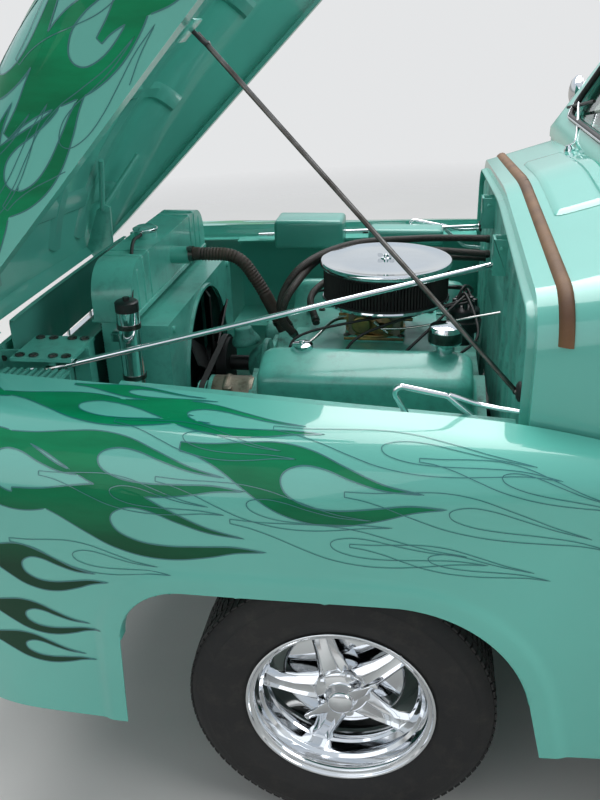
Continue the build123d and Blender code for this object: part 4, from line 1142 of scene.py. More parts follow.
def build_valve_covers(paint, sizes):
    """Pressed valve covers with a flange, bolts, breather and filler cap."""
    across = Vector((0, 170, -60)).normalized()
    up = Vector((0, 60, 170)).normalized()
    foot = Vector((0, 310.5, 831.0))

    def spot(x, w, h):
        p = foot + across * w + up * h
        return at(x, p.y, p.z)

    cover = Shape()
    rows = []
    for h, half_x, half_w, radius in (
        (0.4, 277, 89, 20), (5, 277, 89, 20), (5.5, 268, 80, 18), (14, 266, 79, 20), (78, 262, 72, 24),
        (92, 259, 68, 26), (101, 252, 60, 28), (106, 242, 50, 30), (108, 226, 36, 24), (109, 150, 12, 6),
    ):
        line = rounded([(-half_x, -half_w), (half_x, -half_w), (half_x, half_w), (-half_x, half_w)],
                       [radius] * 4, 5.0)
        count = 60
        lengths = np.cumsum([0] + [math.dist(a, b) for a, b in zip(line, line[1:] + line[:1])])
        ring_ = []
        for k in range(count):
            d = lengths[-1] * k / count
            i = int(np.searchsorted(lengths, d, side="right") - 1)
            a, b = line[i % len(line)], line[(i + 1) % len(line)]
            t = (d - lengths[i]) / max(lengths[i + 1] - lengths[i], 1e-6)
            ring_.append(spot(-12.5 + a[0] + (b[0] - a[0]) * t, a[1] + (b[1] - a[1]) * t, h))
        rows.append(ring_)
    cover.rows(rows, 0, ring=True, caps=True)
    cover.mirrored()
    cover.make("valve_cover_shells", ["SeafoamEngine"], "chassis", levels=1, angle=60,
               replaces=["valve_covers"])
    spots = []
    for sign in (1, -1):
        for side in (-84.5, 84.5):
            for x in np.linspace(-255, 230, 5):
                p = foot + across * side + up * 7
                spots.append(((x, sign * p.y, p.z), (0, sign * up.y, up.z)))
    bolts("valve_cover_bolts", spots, 5.0, 6.0, "DarkSteel", "chassis")
    caps = Shape()
    caps.lathe([(-9, 26), (0, 28), (9, 27), (12, 22), (13, 8), (17, 7), (18, 2)], at(146, 290, 948),
               (0, 0, 1), 40)
    caps.lathe([(-22, 17), (-14, 20), (8, 20), (10, 24), (14, 24), (16, 40), (52, 40), (58, 37), (60, 30),
                (61, 4)], at(-204, 290, 956), (0, 0, 1), 44)
    caps.make("filler_and_breather", ["Chrome"], "chassis", angle=40, replaces=["oil_caps"])
    band = Shape().lathe([(20, 40.6), (46, 40.6)], at(-204, 290, 956), (0, 0, 1), 44, caps=False)
    band.make("breather_mesh", ["DarkSteel"], "chassis")


def build_air_cleaner(paint, sizes):
    """Chrome lid with its wing nut, and the filter's pleats and rims."""
    hub = at(-46, 0, 0)
    lid = Shape()
    lid.lathe([(1083, 150), (1083, 176), (1087, 178), (1093, 178), (1097, 175), (1098, 168), (1095, 160),
               (1097, 120), (1098.5, 60), (1098.5, 14)], hub, (0, 0, 1), 96)
    lid.lathe([(1098, 15), (1101, 14), (1103, 7), (1110, 6), (1111, 1)], hub, (0, 0, 1), 24)
    for sign in (1, -1):
        wing = rounded([(4, 1100), (22, 1102), (24, 1112), (12, 1112), (4, 1106)], [1, 4, 4, 5, 1], 2.0)
        lid.prism([(sign * u - 46, v) for u, v in wing], lambda u, v, w: at(u, w, v), -1.5, 1.5)
    lid.lathe([(985, 60), (985, 150), (989, 172), (993, 174), (997, 172), (996, 166), (990, 150), (990, 62)],
              hub,
              (0, 0, 1), 72)
    lid.make("air_cleaner_lid", ["Chrome"], "chassis", angle=40, replaces=["air_cleaner"])
    pleat = Shape()
    pleat.add([Vector((0.1655, -0.0028, 0.996)), Vector((0.1695, 0, 0.996)), Vector((0.1655, 0.0028, 0.996)),
               Vector((0.150, 0, 0.996)), Vector((0.1655, -0.0028, 1.083)), Vector((0.1695, 0, 1.083)),
               Vector((0.1655, 0.0028, 1.083)), Vector((0.150, 0, 1.083))],
              [[3, 2, 1, 0], [4, 5, 6, 7], [0, 1, 5, 4], [1, 2, 6, 5], [2, 3, 7, 6], [3, 0, 4, 7]])
    ring("filter_pleats", pleat, 120, hub, (0, 0, 1), "FilterPaper", "chassis",
         replaces=["air_filter"])
    rims = Shape()
    for z in (996, 1077):
        rims.lathe([(z, 152), (z, 170), (z + 6, 170), (z + 6, 152)], hub, (0, 0, 1), 72)
    rims.make("filter_rims", ["BlackRubber"], "chassis", angle=40)


SPOKES = 5
SPOKE_SECTIONS = (
    (40, 38, 44, 10), (70, 33, 45, 12), (105, 27, 42, 14), (140, 25, 34, 12), (165, 30, 25, 4),
    (178, 40, 20, -6),
)
CAP_BAR_SECTIONS = ((8, 15, 17), (30, 14, 17), (60, 12, 14), (84, 10, 11), (93, 8, 8), (96, 4, 4))
CAP_BAR_REACH = 96
TREAD_LANES = ((-74, 24, 3), (-42, 26, -2), (-9, 18, 2), (15, 18, -2), (42, 26, 2), (74, 24, -3))
TREAD_BLOCKS = 100
TREAD_LENGTH = 15.5
TREAD_TOP = 334.6
TREAD_FOOT = 329.5


def build_wheels(paint, sizes):
    """Chrome five-spoke wheels with two-bar caps, drums and treaded tyres."""
    for x, place in ((FRONT_AXLE, "front"), (REAR_AXLE, "rear")):
        for sign, side in SIDES:
            hub = Vector((x, sign * WHEEL_Y, AXLE_Z))
            axis = (0, sign, 0)
            body = f"wheel_{place}_{side}"
            rim = Shape()
            rim.lathe([(-95, 186.6), (-95, 207), (-88.6, 207), (-88.6, 191.6), (88.4, 191.6), (88.4, 205),
                       (90, 207),
                       (94, 207), (95, 204.5), (94, 201), (90, 199), (86, 190), (74, 185), (58, 183),
                       (52, 176),
                       (40, 174), (22, 173), (16, 168), (-40, 166), (-60, 176), (-95, 186)],
                      hub, axis, 112, caps=False)
            rim.lathe([(-50, 20.6), (-50, 138), (-14, 140), (-8, 134), (-6, 70), (-6, 20.6)], hub, axis, 56,
                      1)
            rim.lathe([(2, 62), (38, 62), (46, 58), (50, 50), (51, 38), (56, 34), (70, 31), (78, 26),
                       (82, 16),
                       (83, 1)], hub, axis, 64)
            for k in range(SPOKES):
                here = len(rim.points)
                rows = []
                for r, half, front, back in SPOKE_SECTIONS:
                    rows.append([
                        hub + Vector((half * across * MM, sign * out * MM, r * MM))
                        for across, out in (
                            (-1, front - 12), (-0.55, front), (-0.3, front - 6), (0.3, front - 6),
                            (0.55, front), (1, front - 12), (0.8, back), (-0.8, back),
                        )
                    ])
                rim.rows(rows, 0, ring=True, caps=True)
                rim.turned(hub, "Y", 360 / SPOKES * k + 18, here)
            here = len(rim.points)
            for half in (1, -1):
                rows = []
                for r, w, h in CAP_BAR_SECTIONS:
                    line = rounded([(-w, -h / 2), (w, -h / 2), (w, h / 2), (-w, h / 2)], [h * 0.3] * 4, 2.0)
                    while len(line) > 12:
                        line.pop()
                    rows.append([hub + Vector((half * r * MM,
                                               sign * (74 + v - (r / CAP_BAR_REACH) ** 2 * 6) * MM, u * MM))
                                 for u, v in line])
                rim.rows(rows, 0, ring=True, caps=True)
            rim.turned(hub, "Y", 35, here)
            rim.make(f"wheel_{place}_{side}_rim", ["Chrome", "DarkSteel"], body, bevel=1.6, angle=38,
                     replaces=[f"rim_{place}_{side}"])
            nuts = []
            for k in range(SPOKES):
                turn = math.radians(360 / SPOKES * k + 54)
                spot = hub + Vector((math.sin(turn) * 0.052, sign * 0.047, math.cos(turn) * 0.052))
                nuts.append((spot, (0, sign, 0)))
            base = base_mesh([p for p, _ in nuts], (), [a for _, a in nuts])
            TREES["bolts"].grow(body + "_nuts", base, "Chrome", body, Radius=0.008, Height=0.012, Sides=6)
            tyre = Shape()
            tyre.lathe([(-88, 192), (-88, 208), (-96, 222), (-104, 244), (-107.3, 262), (-106, 286),
                        (-101.5, 306),
                        (-94, 320), (-86, 328), (-70, 331), (0, 332.5), (70, 331), (86, 328), (94, 320),
                        (101.5, 306), (104, 296), (105.4, 294.5), (106.2, 290), (105.6, 286), (107.3, 262),
                        (106.6, 250), (105.6, 247), (104.6, 244), (100, 232), (96, 222), (92, 214), (88, 208),
                        (88, 192)], hub, axis, 96, caps=False)
            tyre.make(f"tyre_{place}_{side}_carcass", ["TyreRubber"], body, angle=30,
                      replaces=[f"tyre_{place}_{side}"])
            block = Shape()
            for lane, width, skew in TREAD_LANES:
                y0, y1 = lane - width / 2, lane + width / 2
                low = TREAD_FOOT - abs(lane) * 0.012
                top = TREAD_TOP - (max(abs(lane) - 50, 0) / 30) ** 2 * 3.0
                corners = [(y0, skew), (y1, -skew), (y1, TREAD_LENGTH - skew), (y0, TREAD_LENGTH + skew)]
                points = [Vector((c * MM, y * MM, z * MM)) for z in (low, top) for y, c in corners]
                block.add(points, [[3, 2, 1, 0], [4, 5, 6, 7], [0, 1, 5, 4], [1, 2, 6, 5], [2, 3, 7, 6],
                                   [3, 0, 4, 7]])
            ring(f"tyre_{place}_{side}_tread", block, TREAD_BLOCKS, hub, (0, 1, 0), "TyreRubber", body)


def pipe(shape, line, radius, kind=0, sides=16):
    """A tube along points in millimetres; radius may be a function of the distance along it."""
    spots = [Vector(p) for p in line]
    far = 0.0
    side = None
    rows = []
    for i, spot in enumerate(spots):
        way = (spots[min(i + 1, len(spots) - 1)] - spots[max(i - 1, 0)]).normalized()
        if side is None:
            side = way.orthogonal().normalized()
        side = (side - way * side.dot(way)).normalized()
        up = way.cross(side)
        if i:
            far += (spot - spots[i - 1]).length
        r = radius(far) if callable(radius) else radius
        rows.append([
            at(*(spot + side * math.cos(turn) * r + up * math.sin(turn) * r))
            for turn in (2 * math.pi * k / sides for k in range(sides))
        ])
    return shape.rows(rows, kind, ring=True, caps=True)


def evenly(line, step):
    """The same line with points step millimetres apart."""
    spots = [Vector(p) for p in line]
    ends = np.cumsum([0] + [(b - a).length for a, b in zip(spots, spots[1:])])
    made = []
    for d in np.arange(0, ends[-1], step):
        i = min(int(np.searchsorted(ends, d, side="right") - 1), len(spots) - 2)
        made.append(spots[i].lerp(spots[i + 1], (d - ends[i]) / max(ends[i + 1] - ends[i], 1e-6)))
    return made + [spots[-1]]


def curve_line(points, steps=8):
    """A smooth 3-D line through points."""
    spots = [Vector(p) for p in points]
    spots = [2 * spots[0] - spots[1]] + spots + [2 * spots[-1] - spots[-2]]
    line = []
    for a, b, c, d in zip(spots, spots[1:], spots[2:], spots[3:]):
        for k in range(steps):
            t = k / steps
            line.append(((2 * b) + (c - a) * t + (2 * a - 5 * b + 4 * c - d) * t * t
                         + (3 * b - a - 3 * c + d) * t**3) / 2)
    return line + [spots[-2]]


def build_hoses(paint, sizes):
    """Corrugated radiator hose, heater hoses, plug wires and their clamps."""
    hose = Shape()
    path = evenly(bent([(499, 0, 1104), (360, 0, 1104), (300, 0, 1010), (240, 0, 886)], [48, 34], 8), 3.0)
    pipe(hose, path, lambda d: 18.4 if d < 30 or d > 262 else 17.6 + 1.3 * math.sin(d * 0.72), 0, 20)
    hose.make("upper_hose", ["HoseRubber"], "chassis", angle=60, replaces=["radiator_hose"])
    clamps = Shape()
    for place, way in (((494, 0, 1104), (1, 0, 0)), ((252, 0, 912), (0.43, 0, 0.9))):
        clamps.lathe([(-6, 20.2), (-6, 21.4), (6, 21.4), (6, 20.2)], at(*place), way, 36)
        clamps.box(place[0] - 7, place[0] + 7, 14, 24, place[2] + 15, place[2] + 24)
    heater = Shape()
    runs = (
        [(214, 44, 905), (238, 60, 985), (180, 20, 1078), (60, -150, 1096), (-120, -262, 1086),
         (-250, -300, 1080),
         (-343, -310, 1076)],
        [(196, 74, 896), (226, 108, 960), (196, 96, 1040), (120, -110, 1078), (-60, -232, 1064),
         (-240, -262, 1048),
         (-343, -268, 1040)],
        [(150, -20, 900), (170, -110, 960), (60, -240, 1000), (-140, -330, 1010), (-343, -360, 1004)],
    )
    for run in runs:
        line = evenly(curve_line(run, 10), 7.0)
        pipe(heater, line, 10.5, 0, 14)
        for spot, way in ((line[2], line[3] - line[1]), (line[-3], line[-2] - line[-4])):
            clamps.lathe([(-4.5, 11.0), (-4.5, 12.2), (4.5, 12.2), (4.5, 11.0)], at(*spot), way, 24)
    heater.make("heater_hoses", ["Braid"], "chassis", angle=60)
    clamps.make("hose_clamps", ["DarkSteel"], "chassis", angle=40)
    wires = Shape()
    for i, x in enumerate((-230, -96, 52, 196)):
        for sign in (1, -1):
            start = (-262 + 20 * math.cos(i * 1.4), sign * (10 + 6 * i), 986)
            line = curve_line([start, (-262 + 10 * i, sign * (40 + 12 * i), 1012 - 6 * i),
                               (x - 60, sign * 178, 950), (x, sign * 214, 896), (x, sign * 232, 872)], 8)
            pipe(wires, evenly(line, 9.0), 3.8, 0, 8)
            pipe(wires, [(x, sign * 225, 886), (x, sign * 236, 862)], 7.5, 0, 12)
    wires.make("plug_wires", ["BlackRubber"], "chassis", angle=60, slot="hose_rubber")


def build_engine_top(paint, sizes):
    """Carburettor detail, throttle rod and fuel line, distributor, intake runners and bolts."""
    alloy = Shape()
    for x in (-78, 38):
        alloy.box(x - 20, x + 20, -48, 48, 914, 958)
        for y in (-32, 0, 32):
            alloy.lathe([(0, 5), (24, 5), (25, 3)], at(x + (20 if x > 0 else -20), y, 936),
                        (1 if x > 0 else -1, 0, 0), 10)
    alloy.lathe([(898, 84), (905, 84), (905, 60), (912, 60)], at(-20, 0, 0), (0, 0, 1), 32)
    alloy.box(-100, 62, -78, 78, 889, 897)
    alloy.box(-60, 20, 66, 74, 908, 948)
    alloy.lathe([(0, 30), (4, 30), (5, 12), (20, 10)], at(-40, 74, 930), (0, 1, 0), 24)
    alloy.lathe([(0, 26), (20, 27), (24, 22), (25, 4)], at(14, 66, 936), (0, 1, 0), 24)
    alloy.lathe([(0, 16), (46, 16), (50, 12)], at(-70, -66, 936), (0, -1, 0), 18)
    alloy.make("carburettor_detail", ["GoldZinc"], "chassis", bevel=1.6, angle=40)
    link = Shape()
    line = curve_line([(-40, 96, 930), (-120, 118, 944), (-240, 150, 980), (-344, 172, 1010)], 8)
    pipe(link, line, 3.0, 0, 10)
    pipe(link, [(-20, 92, 948), (-58, 92, 918)], 4.0, 0, 10)
    pipe(link, curve_line([(58, 26, 936), (96, 60, 934), (150, 130, 900), (246, 196, 862)], 8), 4.2, 0, 10)
    link.make("throttle_rod_and_fuel_line", ["WornChrome"], "chassis", angle=60)
    dizzy = Shape()
    dizzy.lathe([(862, 30), (900, 32), (902, 46), (930, 48), (932, 44), (960, 42), (972, 30), (974, 10)],
                at(-262, 0, 0), (0, 0, 1), 36)
    for k in range(8):
        turn = math.radians(45 * k)
        dizzy.lathe([(966, 8), (988, 7), (989, 4)],
                    at(-262 + 27 * math.cos(turn), 27 * math.sin(turn), 0), (0, 0, 1), 10)
    dizzy.make("distributor", ["BlackPlastic"], "chassis", angle=40)
    house = Shape()
    house.lathe([(850, 40), (860, 42), (872, 36), (884, 27), (900, 24)], at(226, 0, 0), (0.15, 0, 1), 30)
    for sign in (1, -1):
        house.box(-176, 160, sign * 205 - 14, sign * 205 + 14, 838, 858)
        for x in (-150, -60, 40, 130):
            house.box(x - 26, x + 26, min(sign * 118, sign * 200), max(sign * 118, sign * 200), 852, 874)
    house.make("intake_runners", ["SeafoamCast"], "chassis", bevel=5.0, steps=3, slot="cast_metal")
    spots = [((x, sign * y, z), (0, 0, 1)) for sign in (1, -1)
             for x, y, z in ((-172, 180, 887), (-60, 180, 887), (40, 180, 887), (152, 180, 887),
                             (-92, 66, 900),
                             (54, 66, 900))]
    bolts("intake_bolts", spots, 7.0, 8.0, "DarkSteel", "chassis")
    plugs = [((x, sign * 398, 770), (0, sign * 0.9, -0.3)) for sign in (1, -1) for x in (-230, -90, 50, 190)]
    bolts("head_bolts", plugs, 11.0, 10.0, "DarkSteel", "chassis")


CRANK = (0, 560)
WATER_PUMP = (0, 780)
ALTERNATOR = (262, 790)


def build_accessories(paint, sizes):
    """Belt, pulleys, alternator case, water pump, front cover bolts and exhaust manifolds."""
    belt = Shape()
    wheels = [(WATER_PUMP, 76), (ALTERNATOR, 36), (CRANK, 84)]
    outline = []
    order = [wheels[0], wheels[1], wheels[2]]
    for k, ((cy, cz), r) in enumerate(order):
        before, after = order[k - 1], order[(k + 1) % 3]
        def leave(a, b):
            (ay, az), ra = a
            (by, bz), rb = b
            gap = math.hypot(by - ay, bz - az)
            return math.atan2(bz - az, by - ay) + math.acos((ra - rb) / gap)
        start, stop = leave(before, order[k]), leave(order[k], after)
        while stop > start:
            stop -= 2 * math.pi
        for n in range(15):
            turn = start + (stop - start) * n / 14
            outline.append((cy + r * math.cos(turn), cz + r * math.sin(turn), math.cos(turn), math.sin(turn)))
    rows = [[at(x, y + cy * g, z + cz * g) for x, g in ((409, 0), (421, 0), (423, 7), (407, 7))]
            for y, z, cy, cz in outline]
    belt.rows(rows + rows[:1], 0, ring=True)
    belt.make("fan_belt", ["BlackRubber"], "chassis", angle=50, slot="hose_rubber")
    pulley = Shape()
    for (cy, cz), r, x0 in ((ALTERNATOR, 36, 396), (CRANK, 84, 300)):
        pulley.lathe([(x0, 18), (404, 18), (404, r + 7), (407, r + 7), (411, r - 2), (419, r - 2),
                      (423, r + 7),
                      (426, r + 7), (426, r * 0.5), (432, 14), (440, 12), (441, 4)], at(0, cy, cz), (1, 0, 0),
                     40)
    pulley.make("pulleys", ["SeafoamEngine"], "chassis", angle=38)
    case = Shape()
    case.lathe([(276, 40), (278, 58.6), (292, 60), (296, 58.8), (340, 58.8), (344, 62), (352, 62),
                (356, 58.8),
                (384, 58.6), (394, 52), (396, 30)], at(0, *ALTERNATOR), (1, 0, 0), 48)
    case.box(330, 350, 300, 318, 740, 840)
    case.make("alternator_case", ["CastAlloy"], "chassis", bevel=1.2)
    slots = Shape()
    slots.box(395.2, 397.4, 300, 308, 786, 794)
    ring_ = Shape().add([p - at(0, *ALTERNATOR) for p in slots.points], slots.faces)
    ring("alternator_vents", ring_, 12, at(0, *ALTERNATOR), (1, 0, 0), "CoreBlack", "chassis",
         slot="hose_rubber")
    pump = Shape()
    pump.lathe([(284, 74), (300, 74), (306, 60), (330, 44), (344, 30)], at(0, 0, 780), (1, 0, 0), 40)
    pump.box(285, 302, -190, 190, 600, 800)
    pump.lathe([(285, 60), (330, 60), (338, 52), (339, 10)], at(0, -250, 760), (1, 0, 0), 40)
    pump.make("water_pump", ["SeafoamCast"], "chassis", bevel=4.0, steps=3, slot="engine_paint")
    heads = [((303, y, z), (1, 0, 0)) for y in (-170, -60, 60, 170) for z in (620, 700)]
    bolts("front_cover_bolts", heads, 8.0, 7.0, "DarkSteel", "chassis")
    mani = Shape()
    for sign in (1, -1):
        pipe(mani, evenly([(-260, sign * 424, 726), (210, sign * 424, 726)], 60), 30, 0, 18)
        for x in (-230, -90, 50, 190):
            pipe(mani, [(x, sign * 372, 738), (x, sign * 424, 726)], 24, 0, 14)
        pipe(mani, curve_line([(-250, sign * 424, 726), (-290, sign * 410, 640), (-296, sign * 330, 480),
                               (-300, sign * 272, 300)], 8), 24, 0, 16)
    mani.make("exhaust_manifolds", ["Exhaust"], "chassis", angle=50)


OVERFLOW_CAN = (548, 400)


def build_radiator(paint, sizes):
    """Tank ribs, cap, core, fins and shroud lip, and the overflow can's cap, bands and lines."""
    ribs = Shape()
    for y in (-300, -250, -200, 200, 250, 300):
        top = 1165 if abs(y) < 270 else 1146
        line = rounded([(548, 1040), (548, top + 3), (654, top + 3), (654, 1040)], [0, 10, 10, 0], 4.0)
        ribs.prism(line, lambda u, v, w: at(u, w, v), y - 6, y + 6)
    for x in (549, 651):
        ribs.box(x - 4, x + 4, -352, 352, 1030, 1044)
    ribs.box(553, 660, -356, 356, 1024, 1032)
    ribs.make("radiator_tank_ribs", ["SeafoamEngine"], "chassis", bevel=2.5, steps=3)
    cap = Shape()
    cap.lathe([(1176, 26), (1183, 26), (1184, 33), (1190, 34), (1192, 30), (1197, 20), (1198, 3)],
              at(600, 60, 0),
              (0, 0, 1), 40)
    for sign in (1, -1):
        cap.box(594, 606, 60 + sign * 36 - 8, 60 + sign * 36 + 8, 1184, 1188)
    cap.make("radiator_cap", ["Chrome"], "chassis", bevel=1.0)
    core = Shape()
    core.box(572.5, 575.5, -338, 338, 556, 1004)
    core.box(639.5, 642.5, -338, 338, 470, 1020)
    core.make("radiator_core", ["CoreBlack"], "chassis")
    fin = Shape().box(643, 646, -336, 336, 474, 477)
    row("radiator_fins", fin, 68, (0, 0, 8), "CoreBlack", "chassis")
    lip = Shape()
    lip.lathe([(462, 222), (462, 229), (470, 231), (474, 227), (474, 222)], at(0, 0, 780), (1, 0, 0), 72,
              caps=False)
    for y in (-300, 300):
        for z in (570, 990):
            lip.lathe([(464, 9), (469, 10), (470, 10)], at(0, y, z), (1, 0, 0), 16)
    lip.make("shroud_lip", ["SeafoamEngine"], "chassis", angle=40)
    can = Shape()
    can.lathe([(1072, 28.4), (1094, 28.4), (1098, 24), (1099, 6)], at(*OVERFLOW_CAN, 0), (0, 0, 1), 36)
    can.lathe([(1098, 8), (1106, 8), (1107, 4)], at(*OVERFLOW_CAN, 0), (0, 0, 1), 16)
    can.make("overflow_cap", ["BlackPlastic"], "chassis", angle=40)
    band = Shape()
    for z in (900, 1030):
        band.lathe([(z, 28.2), (z, 29.4), (z + 12, 29.4), (z + 12, 28.2)], at(*OVERFLOW_CAN, 0),
                   (0, 0, 1), 36)
    band.make("overflow_bands", ["DarkSteel"], "chassis", angle=40)
    line = evenly(curve_line([(548, 400, 872), (548, 396, 830), (560, 372, 800), (572, 356, 760)], 6), 8)
    pipe_ = pipe(Shape(), line, 5.0, 0, 10)
    pipe(pipe_, evenly(curve_line([(548, 372, 1060), (556, 330, 1110), (590, 200, 1180), (600, 100, 1180)],
                                  6), 8),
         4.5, 0, 10)
    pipe_.make("overflow_lines", ["BlackRubber"], "chassis", angle=60, slot="hose_rubber")


def build_bay(paint, sizes):
    """Hinge bolts, brace ends, aprons, far side boxes and rubber rests of the engine bay."""
    spots = []
    for sign in (1, -1):
        for x in (668, 700, 748, 782):
            for y in (392, 508):
                spots.append(((x, sign * y, 996.5), (0, 0, 1)))
        for x in (680, 780, 860):
            spots.append(((x, sign * (440 if sign > 0 else 432), 958), (0, -sign, 0)))
    bolts("hinge_bolts", spots, 8.0, 7.0, "DarkSteel", "chassis")
    ends = Shape()
    for x, y, z, aim in ((700, 512, 966, 1), (-336, 200, 1146, -1)):
        way = Vector((-1036, -312, 180)).normalized()
        ends.lathe([(-22, 9), (4, 10.5), (18, 10.5), (26, 8)], at(x, y, z) - way * aim * -0.004, way * aim,
                   24)
    ends.box(-345, -331, 186, 214, 1120, 1170)
    ends.make("brace_ends", ["WornChrome"], "chassis", bevel=1.0)
    apron = Shape()
    for sign in (1, -1):
        a, b = sorted((sign * 400, sign * 640))
        apron.box(806, 858, a, b, 905, 909)
        for k in range(9):
            x = 662 + 17 * k
            p0, p1 = sorted((sign * 535, sign * 636))
            apron.box(x, x + 8, p0, p1, 968, 976)
        p0, p1 = sorted((sign * 528, sign * 640))
        apron.box(654, 822, p0, p1, 962, 968)
        q0, q1 = sorted((sign * 528, sign * 534))
        apron.box(654, 822, q0, q1, 700, 968)
    apron.box(694, 700, -640, 640, 490, 955)
    apron.make("front_aprons", ["SeafoamInner"], "chassis", bevel=1.2)
    ribs = Shape()
    for y in range(-330, 331, 110):
        ribs.box(700, 704, y - 18, y + 18, 520, 920)
    ribs.make("apron_ribs", ["SeafoamInner"], "chassis", bevel=3.5, steps=3)
    boxes = Shape()
    for sign in (-1,):
        a, b = sorted((sign * 500, sign * 640))
        boxes.box(120, 350, a, b, 986, 1082)
        boxes.box(-210, 40, *sorted((sign * 560, sign * 660)), 986, 1040)
    boxes.make("far_side_boxes", ["SeafoamInner"], "chassis", bevel=14.0, steps=4)
    shelf = Shape()
    for sign in (1, -1):
        rows = []
        for x in np.linspace(-330, 500, 30):
            edge = fender_edge(x) - 32
            section = ((edge, 975), (edge, 985), (edge - 60, 985), (edge - 60, 978), (edge - 8, 978),
                       (edge - 8, 975))
            rows.append([at(x, sign * y, z) for y, z in section])
        shelf.rows(rows, 0, ring=True, caps=True)
    shelf.make("apron_flanges", ["SeafoamEngine"], "chassis", angle=40, slot="body_paint")
    rest = Shape()
    for sign in (1, -1):
        for x in (-280, 60, 400, 700):
            y = fender_edge(x) - 20
            rest.lathe([(980, 11), (988, 11), (992, 8), (993, 2)], at(x, sign * y, 0), (0, 0, 1), 20)
        rest.lathe([(0, 20), (4, 20), (8, 14), (9, 8)], at(-340, sign * 690, 1026), (1, 0, 0), 28)
    rest.make("rubber_rests", ["BlackRubber"], "chassis", angle=40, replaces=["prop_grommets"])


# Cab and cowl sections, as the frame has them
COWL = ((-345, 810, 1236, 1285), (-560, 866, 1290, 1352))
COWL_LOW = 470
CAB_SIDE = ((420, 850), (900, 885), (1330, 868), (1765, 690))
WINDOW = ([(-670, 1365), (-868, 1680), (-1425, 1680), (-1440, 1365)], [20, 40, 40, 20])
WINDSHIELD = ([(-690, 1385), (690, 1385), (590, 1715), (-590, 1715)], [50] * 4)
BACK_LIGHT = ([(-420, 1400), (420, 1400), (400, 1660), (-400, 1660)], [60] * 4)


def cowl_surface(x, s, lift=0.0):
    """The cowl's left half: s is the distance up and in from its lower edge."""
    share = (x - COWL[0][0]) / (COWL[1][0] - COWL[0][0])
    half, corner, crown = [a + (b - a) * share for a, b in zip(COWL[0][1:], COWL[1][1:])]
    corners = [(half, COWL_LOW), (half, corner), (0, crown), (-half, corner)]
    (y, z), (ny, nz) = along_section(corners, [0, 105, CROWN_R, 0], s)
    return Vector(at(x, y - ny * lift, z - nz * lift))


def cowl_length(x):
    """The length of the cowl's section from its lower edge to its middle."""
    low, high = 0.0, 2200.0
    for _ in range(30):
        mid = (low + high) / 2
        low, high = (mid, high) if cowl_surface(x, mid).y > 0 else (low, mid)
    return low


def cab_side(z):
    """How far out the cab's side is at height z."""
    return float(np.interp(z, [r[0] for r in CAB_SIDE], [r[1] for r in CAB_SIDE]))


def front_glass_x(z):
    """The windshield's outer face at height z."""
    return -560 - (z - 1330) * 240 / 435


def back_glass_x(z):
    """The back light's outer face at height z."""
    return -1750 + (z - 1330) * 85 / 435


